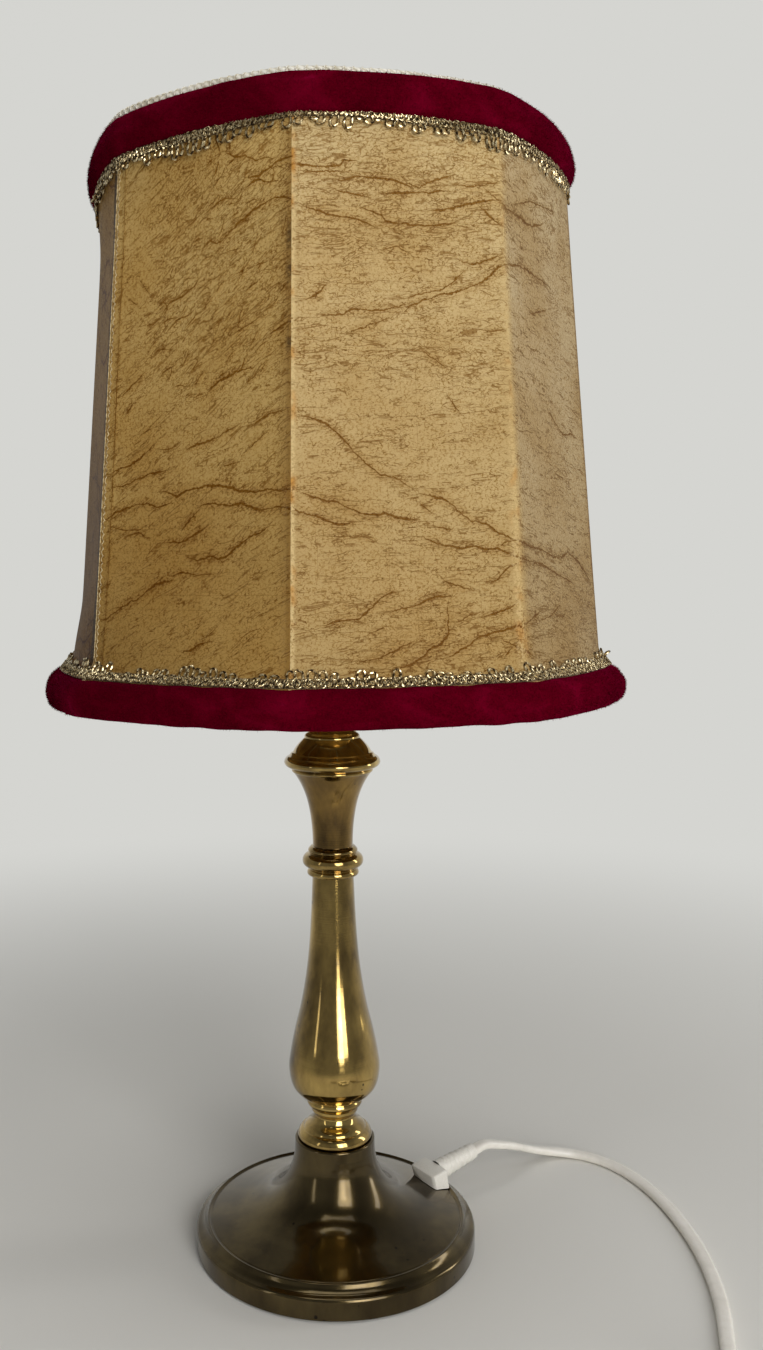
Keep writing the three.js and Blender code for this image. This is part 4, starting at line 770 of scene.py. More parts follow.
def coil_points(count=432):
    """The coil spirals in, climbs one layer in the half turn where it reverses, and spirals out."""
    done = np.linspace(0, COIL_TURNS, count)
    inward = np.minimum(done, COIL_TURNS - done)
    radius = COIL_RADIUS - COIL_PITCH * inward
    layer = smooth((done - COIL_TURNS / 2 + 0.25) * 2)
    angle = -math.pi / 2 - TURN * done
    return np.stack([
        COIL_X + radius * np.cos(angle), COIL_Y + radius * np.sin(angle), COIL_LOW + COIL_LAYER * layer,
    ], -1)


def evenly(line, step):
    """The same line with points at even steps."""
    line = np.asarray(line, float)
    gone = np.concatenate([[0], np.cumsum(np.linalg.norm(np.diff(line, axis=0), axis=1))])
    count = max(int(round(gone[-1] / step)), 2)
    at = np.linspace(0, gone[-1], count + 1)
    return np.stack([np.interp(at, gone, line[:, k]) for k in range(3)], -1)


flex_line = evenly(np.concatenate([
    spline(run_points), spline(link_points)[:-1], coil_points(), spline(tail_points),
]), FLEX_STEP)


def flat_flex_section(sides=20):
    """Two cores side by side under one flat sheath: round edges, flat faces with a faint dip."""
    turn = np.arange(sides) * TURN / sides
    x, y = np.cos(turn), np.sin(turn)
    across = np.sign(x) * np.abs(x) ** 0.8 * FLEX_WIDTH / 2
    thick = np.sign(y) * np.abs(y) ** 0.72 * FLEX_THICKNESS / 2
    thick = thick * (1 - 0.05 * np.exp(-(across / 1.0) ** 2))
    return np.stack([across, thick], -1)


flex = piece(
    "flex", sweep(flex_line, UP, flat_flex_section(), scale=rounded_ends(len(flex_line))),
    flex_pvc, "lamp", ("cord_run", "cord_link", "cord_coil", "cord_tail"),
)


# Base

def base_strokes():
    """Outside of the spun base from the rim's foot up the bell to the neck."""
    return outline_of(
        [(61.0, 1.0), (61.0, 7.4)],
        bend((61.0, 7.4), (61.0, 9.5), (59.6, 9.7)),
        spline([(59.6, 9.7), (58.4, 10.2), (57.0, 11.4), (56.2, 12.6)], 6),
        bend((56.2, 12.6), (55.9, 13.25), (55.4, 13.2), (54.9, 12.7), steps=6),
        bend((54.9, 12.7), (54.5, 12.2), (54.0, 12.6), steps=4),
        spline([
            (54.0, 12.7), (48.0, 14.3), (42.0, 15.9), (36.0, 17.7), (30.0, 20.2), (25.2, 23.9),
            (21.4, 28.8), (19.0, 34.0), (17.9, 38.5), (17.4, 42.4),
        ], 8),
        [(17.4, 46.3)],
        bend((17.4, 46.3), (17.4, 47.0), (16.8, 47.0), steps=4),
        [(16.1, 47.0), (16.1, 45.5), (5.3, 45.5), (5.3, 43.0), (15.6, 43.0)],
        spline([(15.6, 42.0), (17.3, 34.0), (19.8, 28.0), (23.7, 22.6), (29.0, 18.6), (36.0, 15.9),
                (42.0, 14.1), (48.0, 12.5), (53.0, 11.2)], 6),
        [(58.6, 8.0), (59.2, 7.4), (59.2, 1.0), (61.0, 1.0)],
    )


FELT_TOP = 1.5
DISC_TOP = 2.75
AXIS = 0.01

piece("base_spun_shell", turned(base_strokes(), sides=192), base_brass, "lamp", "base_shell")
piece("base_felt", turned([
    (AXIS, 0), (57.2, 0), (57.5, 0.3), (57.5, FELT_TOP), (AXIS, FELT_TOP),
], sides=160), pad_felt, "lamp", "felt_pad")
piece("base_disc", turned([
    (AXIS, FELT_TOP), (58.5, FELT_TOP), (58.5, DISC_TOP), (AXIS, DISC_TOP),
], sides=160), disc_fibreboard, "lamp", "bottom_disc")


# Column, each piece's outside from its own foot up

def foot_strokes():
    """Torus and waist."""
    return outline_of(
        [(15.8, 0.0), (15.8, 1.5)],
        bend((15.8, 1.5), (16.7, 2.9), (15.9, 5.0), (14.2, 6.1)),
        [(13.7, 6.1)],
        bend((13.7, 6.1), (12.8, 8.6), (9.7, 8.6), (9.2, 11.7)),
    )


def vase_strokes():
    """Bead, belly and long taper."""
    return outline_of(
        bend((9.2, 0.0), (9.2, 1.4), (10.2, 2.3)),
        [(10.2, 3.4)],
        bend((10.2, 3.4), (10.3, 4.2), (11.4, 4.6)),
        bend((11.4, 4.6), (12.8, 6.2), (11.4, 7.8)),
        [(13.0, 8.3)],
        spline([
            (13.0, 8.3), (15.6, 10.2), (18.4, 13.9), (19.8, 21.2), (19.0, 28.4), (17.0, 38.4),
            (14.35, 49.4), (12.2, 61.4), (10.7, 73.8), (9.6, 90.0), (8.9, 106.0),
        ], 10),
    )


def collar_strokes():
    """A ring between two beads."""
    return outline_of(
        bend((8.9, 0), (11.4, 0.3), (11.6, 1.6), (10.6, 2.9)),
        [(10.1, 3.2), (11.1, 4.0)],
        bend((11.1, 4.0), (13.3, 4.9), (13.1, 7.2)),
        bend((13.1, 7.2), (12.9, 8.9), (11.1, 9.8)),
        [(10.1, 10.2)],
        bend((10.1, 10.2), (11.6, 11.3), (9.2, 13.0)),
    )


def flare_strokes():
    """A trumpet that opens under the brim."""
    return spline([
        (8.6, 0.0), (8.75, 5.0), (9.2, 10.6), (10.1, 16.4), (11.4, 21.6), (13.4, 26.6), (15.3, 30.0),
        (16.7, 32.0),
    ], 10)


def brim_strokes():
    """The widest disc, over a fillet."""
    return outline_of(
        bend((16.7, 0.0), (17.7, 0.5), (17.6, 1.3), (17.0, 1.7)),
        [(17.6, 2.0), (18.2, 2.2)],
        bend((18.2, 2.2), (20.5, 2.7), (20.6, 4.6)),
        bend((20.6, 4.6), (20.2, 6.4), (18.7, 7.0)),
    )


def dome_strokes():
    """Cone, bead and neck under the lampholder."""
    return outline_of(
        [(18.5, 0.0), (17.6, 1.3), (16.9, 1.5)],
        bend((16.9, 1.5), (15.6, 4.4), (11.8, 7.8)),
        bend((11.8, 7.8), (12.1, 9.0), (10.7, 9.8)),
        bend((10.7, 9.8), (9.8, 10.6), (9.6, 14.0)),
    )


for name, strokes, z in (
    ("foot", foot_strokes(), SEAT_Z),
    ("vase", vase_strokes(), VASE_Z),
    ("collar", collar_strokes(), COLLAR_Z),
    ("flare", flare_strokes(), FLARE_Z),
    ("brim", brim_strokes(), BRIM_Z),
    ("dome", dome_strokes(), DOME_Z),
):
    brass = darker_flare_brass if name == "flare" else column_brass
    piece(f"turned_{name}", turned(strokes, z, bore=BORE), brass, "lamp", f"column_{name}")


# Lampholder and bulb

def threaded_rows(radius, low, high, step=0.25):
    """A plain wall with enough rows to carry a thread."""
    return [(radius, z) for z in np.arange(low, high + step / 2, step)]


piece("holder_cap_drawn", turned(outline_of(
    [(9.0, 0), (9.0, 3)], bend((9.0, 3), (20.3, 5), (20.3, 13)), [(20.3, 18.6)],
    bend((20.3, 18.6), (20.8, 19.6), (20.3, 20.7), steps=4), [(20.0, 21), (18.9, 21), (18.9, 13)],
    bend((18.9, 13), (18.9, 7.4), (9.6, 6.6)), [(BORE, 6.6), (BORE, 0), (9.0, 0)],
), HOLDER_Z), holder_brass, "lamp", "holder_cap")
piece("holder_skirt_threaded", turned(outline_of(
    threaded_rows(19.35, 0, 36.2), [(19.0, 36.5), (17.6, 36.5), (17.2, 36.1), (17.2, 0), (19.35, 0)],
), SKIRT_Z, thread=(2.2, 0.28, 1.5, 35), ease=0.2), holder_brass, "lamp", "holder_skirt")
piece("holder_insulator_pressed", turned(outline_of(
    [(AXIS, 0), (16.9, 0), (16.9, 10), (14.2, 10), (14.2, 8.6), (5.2, 8.6), (5.2, 9.6), (AXIS, 9.6)],
), INSULATOR_Z), insulator_ceramic, "lamp", "holder_insulator")
piece("holder_screw_shell", turned(outline_of(
    threaded_rows(13.95, 0, 22), [(13.65, 22), (13.6, 21.6)], threaded_rows(13.6, 0.3, 21.5)[::-1],
    [(13.95, 0)],
), CONTACT_Z, thread=(3.6, 0.18, 2, 20), ease=0.1), holder_brass, "lamp", "screw_shell")


def contact_tongue():
    """A sprung strip bent up from its foot on the insulator."""
    line = spline([
        (-8.8, 0, 0.35), (-6.0, 0, 0.35), (-3.8, 0, 0.5), (-1.2, 0, 1.5), (1.4, 0, 2.3), (3.8, 0, 2.35),
    ], 6)
    strip = [(-2.4, -0.28), (2.4, -0.28), (2.4, 0.28), (-2.4, 0.28)]
    return sweep(line + [0, 0, CONTACT_Z], UP, strip)


piece("holder_centre_contact", contact_tongue(), cap_nickel, "lamp", "centre_contact", sharp=25)


def notched_ring(inner, outer, height, z, notches=10, sides=400):
    """A clamping ring with finger notches and a chamfer on both edges."""
    turn = np.arange(sides) * TURN / sides
    from_notch = np.abs(np.mod(turn * notches / TURN + 0.5, 1) - 0.5) * TURN / notches * outer
    dip = 2.0 * smooth((2.3 - from_notch) / 1.1)
    rows = []
    for radius, height_at, follows in (
        (inner, 0, 0), (outer - 1.0, 0, 1), (outer - 0.3, 0.25, 1), (outer, 0.8, 1),
        (outer, height - 0.8, 1), (outer - 0.3, height - 0.25, 1), (outer - 1.0, height, 1),
        (inner + 0.4, height, 0), (inner, height - 0.4, 0),
    ):
        r = radius - dip * follows
        rows.append(np.stack([r * np.cos(turn), r * np.sin(turn), np.full(sides, height_at + z)], -1))
    return patch(np.stack(rows), wrap_rows=True, wrap_columns=True)


piece("shade_shoulder_ring", turned(outline_of(
    [(SHADE_RING_BORE, 0), (28.4, 0), (29, 0.6), (29, 3.4), (28.4, 4), (SHADE_RING_BORE, 4), (SHADE_RING_BORE, 0)],
), SHOULDER_Z), holder_brass, "lamp", "shade_shoulder")
piece("shade_clamp_ring", notched_ring(SHADE_RING_BORE, 27.5, 7, RING_NUT_Z),
      holder_brass, "ring_nut", "shade_ring_nut")

piece("bulb_screw_cap", turned(outline_of(
    [(AXIS, 0), (3.6, 0)], bend((3.6, 0), (4.8, 0.2), (4.9, 1.2), steps=4), [(5.4, 1.6)],
    bend((5.4, 1.6), (10.4, 3.2), (12.6, 5.0)), threaded_rows(12.75, 5.2, 24),
    [(12.2, 25.2), (12.2, 26), (11.9, 26), (11.9, 24), (12.1, 6.6), (AXIS, 5.2)],
), BULB_Z, thread=(3.6, 0.4, 5.6, 24), ease=0.1), cap_nickel, "bulb", "bulb_cap")

GLOBE_RADIUS = 29.9
GLOBE_MIDDLE = 74
GLASS_THICKNESS = 1.0
globe_turn = np.linspace(0.05, math.pi / 2 - 0.001, 24)


def globe_arc(radius, turn):
    return np.stack([radius * np.cos(turn), GLOBE_MIDDLE + radius * np.sin(turn)], -1)


piece("bulb_opal_glass", turned(outline_of(
    [(11.7, 16), (11.7, 27)],
    bend((11.7, 27), (11.8, 42), (GLOBE_RADIUS, 56), (GLOBE_RADIUS, GLOBE_MIDDLE), steps=24),
    globe_arc(GLOBE_RADIUS, globe_turn),
    globe_arc(GLOBE_RADIUS - GLASS_THICKNESS, globe_turn[::-1]),
    bend((28.9, GLOBE_MIDDLE), (28.9, 56), (10.8, 42), (10.7, 27), steps=24),
    [(10.7, 16), (11.7, 16)],
), BULB_Z, ease=0.1), opal_glass, "bulb", "bulb_glass")


# Shade: the cover's form and what follows it

def ring_share(angle, roundness, ease=0.0):
    """Radius of a ring or of the cover at an angle, as a share of its radius at the ribs.
    Soft trim doesn't take a rib's sharp corner: it is eased over a small angle."""
    step = TURN / RIBS
    from_rib = step / 2 - np.abs(np.mod(angle, step) - step / 2)
    from_rib = np.sqrt(from_rib ** 2 + np.square(ease))
    return roundness + (1 - roundness) * math.cos(step / 2) / np.cos(step / 2 - from_rib)


def cover_radius(h):
    straight = COVER_BOTTOM_RADIUS + (COVER_TOP_RADIUS - COVER_BOTTOM_RADIUS) * h / SHADE_HEIGHT
    return straight + RING_FLARE * smooth((21 - h) / 13)


def cover_roundness(h):
    return ROUNDNESS * (smooth((58 - h) / 43.5) + smooth((h - 169) / 36))


def on_cover(angle, h, out=0.0, ease=0.0, round_ring=False):
    """A point on the cover's outside, or at a distance from it, at an angle in the shade's own frame."""
    angle, h = np.broadcast_arrays(np.asarray(angle, float), np.asarray(h, float))
    roundness = ROUNDNESS if round_ring else cover_roundness(h)
    radius = (cover_radius(h) + out) * ring_share(angle, roundness, ease)
    turned_by = angle + SHADE_TURN
    return np.stack([radius * np.cos(turned_by), radius * np.sin(turned_by), h + SHADE_Z], -1)


def outward_at(angle):
    turned_by = np.asarray(angle, float) + SHADE_TURN
    return np.stack([np.cos(turned_by), np.sin(turned_by), np.zeros_like(turned_by)], -1)


def sewn_lift(angle):
    """The top trim was sewn by hand a degree out of level: higher at the lamp's right than at its left."""
    return 1.3 * np.cos(np.asarray(angle, float) + SHADE_TURN)


def drift(angle, rate, seed):
    """A slow wander from -1 to 1 round the shade that closes on itself."""
    angle = np.asarray(angle, float)
    return np.array([
        noise.noise(Vector((rate * math.cos(a), rate * math.sin(a), seed))) * 1.8 for a in angle.ravel()
    ]).reshape(angle.shape)


# Wire frame

around = np.arange(384) * TURN / 384
for name, node, height in (
    ("frame_ring_top", "shade_ring_top", TOP_WIRE), ("frame_ring_bottom", "shade_ring_bottom", BOTTOM_WIRE),
):
    ring = on_cover(around, height, -WIRE_INSET, 0.05, True)
    section = oval(RING_WIRE, RING_WIRE, 14)
    piece(name, sweep(ring, UP, section, closed=True), wire_steel, "shade", node)

rib_heights = np.linspace(BOTTOM_WIRE + 1.9, TOP_WIRE - 1.9, 70)
rib_section = oval(RIB_WIRE, RIB_WIRE, 12)
for index in range(RIBS):
    angle = TURN * index / RIBS
    line = on_cover(angle, rib_heights, -2.4)
    piece(f"frame_rib_{index + 1}", sweep(line, outward_at(angle), rib_section, scale=rounded_ends(len(line))),
          wire_steel, "shade", f"shade_rib_{index + 1}")


def carrier_arm(angle):
    """A wire arm from under the carrier's ring down to the bottom ring."""
    reach = (cover_radius(BOTTOM_WIRE) - WIRE_INSET) * float(ring_share(angle, ROUNDNESS))
    lap = BOTTOM_WIRE + (RING_WIRE + RIB_WIRE) / 2 + FIT - (CARRIER_Z - SHADE_Z)
    line = spline([
        (30.5, 0, -0.95), (45, 0, -1.95), ((33 + reach) / 2 + 10, 0, lap / 2), (reach - 9, 0, lap + 1.5),
        (reach, 0, lap),
    ], 16)
    turn = angle + SHADE_TURN
    flat = line[:, 0]
    line = np.stack([flat * math.cos(turn), flat * math.sin(turn), line[:, 2] + CARRIER_Z], -1)
    return sweep(line, UP, rib_section, scale=rounded_ends(len(line)))


# Four arms, each halfway between two ribs
piece("frame_carrier", [
    turned([
        (SHADE_RING_BORE, 0), (32.6, 0), (33, 0.4), (33, 0.85), (32.6, CARRIER_THICKNESS),
        (SHADE_RING_BORE, CARRIER_THICKNESS), (SHADE_RING_BORE, 0),
    ], CARRIER_Z, ease=0.15),
    *[carrier_arm(TURN * (k / 4 + 1 / 16)) for k in range(4)],
], wire_steel, "shade", "shade_carrier")


# Cover: one parchment folded over the ribs, lapped and stitched on the rib left of the front

SEAM_RIB = 5
ALONG = 105.0
PANEL_WIDTH = ALONG * TURN / RIBS
PANEL_COLUMNS = 62
PANEL_ROWS = 168
FOLD_EASE = 0.006
STITCH_LENGTH = 1.3
CREASE_CHANNELS = 9
CREASE_REACH = 5.0
NO_CREASE = 25.0
FAR_OFF = 1e3
FRONT_LIES = (30, 4, -8)
MARK_LOW, MARK_HIGH = 14, 206

# Creases of the three front panels. Each has its strength, then its points: millimetres along the cover
# from the stitched seam, and height above the cover's lowest edge.
front_creases = [
    (0.8, (6.2, 115.7), (17.4, 124.1)),
    (0.9, (46.9, 113.8), (52.8, 117.8), (59.5, 120.0), (67.3, 121.4)),
    (0.9, (73.8, 131.3), (79.7, 134.4), (84.7, 135.5)),
    (0.6, (23.6, 142.7), (27.7, 147.2), (34.0, 148.7), (42.6, 153.0)),
    (0.5, (26.8, 137.1), (32.5, 141.1), (36.3, 141.4), (40.1, 143.2)),
    (0.7, (33.9, 152.5), (35.7, 154.8), (39.6, 154.7)),
    (0.9, (43.6, 164.7), (47.0, 166.4), (49.9, 165.0), (52.8, 165.6), (59.2, 170.0), (69.9, 175.3),
     (76.6, 176.7), (79.8, 176.5), (82.9, 174.8)),
    (0.6, (44.5, 175.9), (51.9, 179.0), (55.7, 179.5), (60.2, 178.5)),
    (0.8, (61.6, 180.0), (66.6, 183.3), (69.2, 183.6), (71.7, 182.3), (78.2, 182.1)),
    (0.9, (63.2, 184.7), (69.2, 184.6), (77.4, 188.5), (84.3, 189.6)),
    (0.8, (54.8, 194.2), (60.8, 191.8), (63.5, 192.5), (68.5, 189.6), (71.8, 190.5), (75.1, 189.8)),
    (0.8, (50.5, 201.8), (53.0, 193.8)),
    (0.6, (55.9, 202.0), (57.2, 199.2), (57.5, 195.9), (56.5, 193.4)),
    (0.7, (46.2, 190.8), (48.3, 192.8), (50.7, 193.5)),
    (0.7, (11.7, 194.2), (17.3, 197.3), (22.8, 198.7)),
    (0.4, (13.1, 156.6), (18.3, 151.0)),
    (0.5, (7.8, 150.8), (12.7, 147.7)),
    (0.6, (15.3, 143.9), (20.1, 144.5)),
    (0.5, (36.0, 172.2), (40.6, 175.0)),
    (0.5, (57.4, 132.5), (71.2, 138.0), (74.5, 138.6)),
    (0.5, (48.3, 129.2), (49.6, 131.5), (52.3, 133.3)),
    (0.5, (23.8, 120.7), (26.5, 123.3), (32.2, 125.4)),
    (1, (2.6, 87.3), (5.1, 89.4), (7.8, 90.3), (11.4, 90.5), (16.8, 93.5), (24.9, 99.4)),
    (0.9, (3.7, 83.3), (9.9, 84.1), (20.8, 87.6), (27.3, 88.0), (30.1, 88.9)),
    (1, (1.8, 71.4), (7.4, 74.8), (14.0, 76.4), (20.4, 76.9), (26.1, 75.6), (33.0, 77.2)),
    (1, (26.3, 80.9), (28.6, 81.2), (34.3, 79.2), (39.8, 81.1), (50.3, 82.4), (56.1, 81.8), (65.1, 79.4),
     (74.0, 79.7), (79.3, 79.2), (84.1, 79.7)),
    (0.9, (44.2, 74.3), (46.4, 75.6), (49.5, 76.2), (56.7, 75.0), (64.3, 75.4), (70.9, 73.1), (77.5, 73.9),
     (83.2, 73.0), (97.1, 68.2), (99.9, 67.9), (105.3, 69.0)),
    (0.8, (36.7, 66.5), (40.2, 70.6), (44.2, 73.6)),
    (0.6, (3.7, 69.5), (10.0, 67.9), (16.3, 67.7), (19.5, 68.4)),
    (0.5, (10.1, 65.4), (17.7, 67.0), (20.1, 65.1), (22.9, 64.7)),
    (0.8, (28.1, 62.8), (38.6, 63.3), (49.3, 68.6)),
    (0.8, (38.9, 58.1), (44.8, 56.2), (51.0, 57.9), (53.7, 57.1), (56.7, 57.4), (66.2, 63.8), (71.8, 65.7),
     (74.5, 67.9)),
    (0.7, (32.6, 50.8), (37.9, 52.5), (44.8, 51.4), (53.5, 52.0)),
    (0.9, (1.6, 35.3), (5.0, 35.4), (8.1, 37.9), (15.9, 42.3), (18.6, 42.6), (23.5, 46.6), (28.3, 48.7),
     (35.0, 50.0)),
    (0.5, (51.7, 30.0), (55.7, 34.2)),
    (0.8, (41.5, 25.4), (44.9, 25.1), (47.5, 26.9), (52.6, 28.7)),
    (0.7, (55.0, 88.1), (62.4, 90.1)),
    (0.9, (37.3, 95.2), (49.3, 97.7), (61.7, 102.1)),
    (0.8, (65.1, 101.5), (68.1, 101.7), (73.3, 104.7), (81.0, 106.1)),
    (0.6, (64.4, 92.7), (74.5, 99.9)),
    (0.6, (25.1, 95.9), (28.8, 95.7), (34.5, 96.8)),
    (0.6, (8.5, 109.0), (12.4, 113.1)),
    (0.6, (15.8, 101.0), (19.0, 103.0), (22.3, 103.8)),
    (1, (81.4, 186.7), (92.9, 186.2), (99.7, 187.0), (101.6, 188.8), (106.6, 188.8)),
    (0.9, (85.7, 184.4), (102.7, 185.3)),
    (0.7, (93.6, 179.7), (96.2, 179.9), (99.6, 178.9), (112.3, 177.3)),
    (0.8, (97.7, 181.4), (106.6, 184.0), (109.8, 183.6), (113.0, 184.1), (121.1, 183.5), (129.5, 181.2)),
    (0.85, (126.1, 182.9), (132.0, 181.8), (137.8, 184.6), (146.6, 187.1)),
    (0.8, (116.3, 178.9), (137.1, 180.6), (139.6, 181.4), (145.9, 181.3)),
    (0.9, (144.6, 183.2), (147.5, 183.8), (153.0, 183.4), (164.7, 186.4)),
    (1, (157.1, 184.2), (163.5, 180.0), (168.7, 178.3), (191.5, 177.4), (203.2, 179.7), (208.9, 182.0)),
    (1, (135.6, 174.4), (142.2, 174.9), (148.9, 177.2), (161.9, 179.8), (164.3, 179.7)),
    (0.85, (155.4, 177.8), (162.4, 172.5), (164.6, 171.3), (166.9, 171.1)),
    (0.7, (85.7, 173.4), (95.0, 170.9), (107.4, 169.9), (115.4, 167.1)),
    (0.85, (107.8, 173.9), (116.3, 171.9), (118.0, 170.0), (120.8, 169.6), (133.8, 169.2), (143.8, 170.3),
     (146.8, 171.6)),
    (0.6, (115.2, 159.9), (122.3, 161.8), (128.0, 159.4)),
    (0.9, (86.4, 142.0), (90.5, 143.3), (94.9, 148.0)),
    (1, (92.6, 137.1), (99.2, 137.8), (104.9, 139.9), (111.6, 139.6), (118.0, 140.3), (125.8, 142.5)),
    (0.9, (125.8, 144.5), (139.9, 148.2), (142.5, 149.4), (150.1, 155.5)),
    (1, (124.5, 139.6), (126.6, 141.8), (139.5, 146.4), (146.0, 147.5), (155.4, 150.9), (162.6, 157.1),
     (166.9, 158.5), (180.7, 160.8), (212.0, 159.7)),
    (0.85, (147.8, 158.1), (153.3, 157.1), (164.4, 161.4)),
    (0.9, (102.5, 131.9), (118.7, 137.6)),
    (0.7, (129.8, 127.9), (141.6, 120.9)),
    (0.7, (154.9, 134.8), (158.0, 134.7), (164.1, 135.7)),
    (0.8, (86.4, 103.9), (93.5, 101.8), (98.1, 98.3), (106.8, 89.7), (114.2, 84.5), (119.2, 83.9),
     (126.5, 79.9)),
    (1, (128.1, 78.6), (136.6, 77.0), (141.9, 74.3), (145.6, 70.5), (148.2, 69.2), (153.5, 68.2),
     (155.9, 66.1), (163.0, 63.0), (176.4, 60.2), (184.8, 59.7), (200.4, 57.0), (207.8, 57.1), (217.0, 58.9),
     (229.0, 55.5), (241.0, 48.3)),
    (0.7, (128.0, 75.8), (133.3, 71.8)),
    (0.9, (86.1, 78.4), (90.7, 76.5), (97.9, 75.3), (106.5, 71.4), (112.1, 71.1), (114.7, 71.8),
     (119.7, 70.2), (128.5, 69.6)),
    (0.7, (133.1, 67.3), (138.5, 66.3), (140.9, 67.0)),
    (0.6, (102.7, 63.9), (107.8, 63.9), (112.2, 61.9)),
    (1, (129.1, 63.4), (143.6, 59.4), (146.3, 60.4), (149.3, 60.4), (151.9, 59.4), (157.4, 59.8),
     (162.3, 57.4), (169.8, 55.7), (185.9, 54.5), (204.8, 49.4)),
    (0.8, (157.4, 59.8), (159.7, 62.3), (165.3, 62.7)),
    (0.7, (92.2, 34.0), (97.5, 35.6), (104.7, 36.2), (113.5, 43.5), (115.4, 44.5), (120.6, 45.5)),
    (0.85, (114.3, 38.1), (125.8, 40.7), (133.6, 43.4), (139.0, 43.7)),
    (0.7, (135.4, 50.0), (137.5, 48.2), (147.9, 45.4)),
    (0.7, (137.6, 34.8), (140.2, 34.4), (145.0, 37.1), (147.8, 37.7)),
    (0.8, (104.0, 21.8), (111.8, 23.3), (124.0, 28.8)),
    (0.6, (107.6, 31.1), (114.7, 34.0)),
    (1, (117.1, 19.5), (122.1, 20.7), (126.9, 23.7), (128.9, 25.7), (133.5, 27.6), (135.5, 29.3),
     (136.5, 32.0), (137.1, 40.6)),
    (1, (134.1, 22.5), (137.1, 23.4), (147.6, 29.4), (159.5, 32.3), (164.5, 32.6), (178.2, 37.6)),
    (1, (156.0, 28.2), (171.4, 21.2)),
    (0.8, (147.5, 35.7), (159.2, 38.7), (164.7, 42.1)),
    (0.7, (150.4, 48.5), (155.6, 48.2), (160.3, 53.1), (166.1, 55.6)),
    (0.6, (140.8, 111.8), (145.7, 105.7)),
    (0.6, (156.2, 21.9), (160.1, 26.0)),
    (0.6, (174.5, 180.9), (192.2, 185.8), (222.3, 188.5)),
    (0.5, (186.7, 144.5), (209.9, 150.1)),
    (0.6, (201.9, 112.5), (220.5, 104.1), (229.8, 105.5), (238.7, 104.4)),
    (0.7, (175.5, 54.7), (189.9, 53.1), (218.7, 47.1)),
    (0.5, (175.5, 34.0), (187.5, 35.6), (197.8, 39.5)),
    (0.35, (4.6, 206), (4.2, 150), (4.4, 100), (4.3, 60), (4.8, 18)),
]


def walked_creases(rng, left, lie, count):
    """Creases of a panel that the photograph doesn't show: they wander with the skin's stretch and fork."""
    made = []
    for _ in range(count):
        spot = np.array([left + rng.uniform(2, PANEL_WIDTH - 8), rng.uniform(16, 204)])
        heading = math.radians(lie + rng.normal(0, 16))
        strength = rng.uniform(0.55, 1.0)
        line = [spot]
        for _ in range(rng.integers(4, 13)):
            heading += rng.normal(0, 0.28)
            heading += 0.2 * (math.radians(lie) - heading)
            spot = spot + rng.uniform(3.5, 7) * np.array([math.cos(heading), math.sin(heading)])
            if not (left < spot[0] < left + PANEL_WIDTH and MARK_LOW < spot[1] < MARK_HIGH):
                break
            line.append(spot)
        if len(line) < 3:
            continue
        made.append((strength, *line))
        if rng.random() < 0.6:
            fork = heading = math.radians(lie + rng.choice([-1, 1]) * rng.uniform(25, 50))
            spot = line[rng.integers(1, len(line))]
            branch = [spot]
            for _ in range(rng.integers(2, 5)):
                fork += rng.normal(0, 0.3)
                spot = spot + rng.uniform(3, 5) * np.array([math.cos(fork), math.sin(fork)])
                branch.append(spot)
            made.append((strength * 0.75, *branch))
    return made


def crushed_creases(rng):
    """Short creases, close together, over the upper right half of the panel left of the front."""
    def inside(point):
        left_edge = 14 + 0.5 * (point[1] - 118) if point[1] > 150 else 14
        return left_edge < point[0] < PANEL_WIDTH - 1 and 112 < point[1] < 196

    made = []
    corner, up_right, up_left = np.array([28.0, 118.0]), np.array([0.8, 0.6]), np.array([-0.55, 0.83])
    for across in np.arange(-30, 75, 5.2):
        for along in np.arange(0, 110, 9.0):
            spot = corner + along * up_right + across * up_left
            spot = spot + rng.uniform(-2.5, 2.5, 2)
            heading = math.radians(rng.normal(36, 12))
            line = [spot]
            for _ in range(rng.integers(2, 4)):
                spot = spot + rng.uniform(2.0, 3.6) * np.array([math.cos(heading), math.sin(heading)])
                heading += rng.normal(0, 0.45)
                line.append(spot)
            line = [point for point in line if inside(point)]
            if len(line) > 2 and rng.random() < 0.85:
                made.append((rng.uniform(0.38, 0.62), *line))
    return made


def crease_groups(creases):
    """Shares creases out over channels, so that those in one channel keep clear of each other."""
    groups = [[] for _ in range(CREASE_CHANNELS)]
    for crease in sorted(creases, key=lambda c: -c[0]):
        line = np.array(crease[1:], float)
        shares = np.linspace(0, 1, 5)[:, None]
        fine = np.concatenate([a + (b - a) * shares for a, b in zip(line, line[1:])])
        gaps = []
        for group in groups:
            near = [np.linalg.norm(fine[:, None] - other[None], axis=-1).min() for _, _, other in group]
            gaps.append(min(near, default=FAR_OFF))
        best = int(np.argmax(gaps))
        groups[best].append((crease[0], line, fine))
    return groups


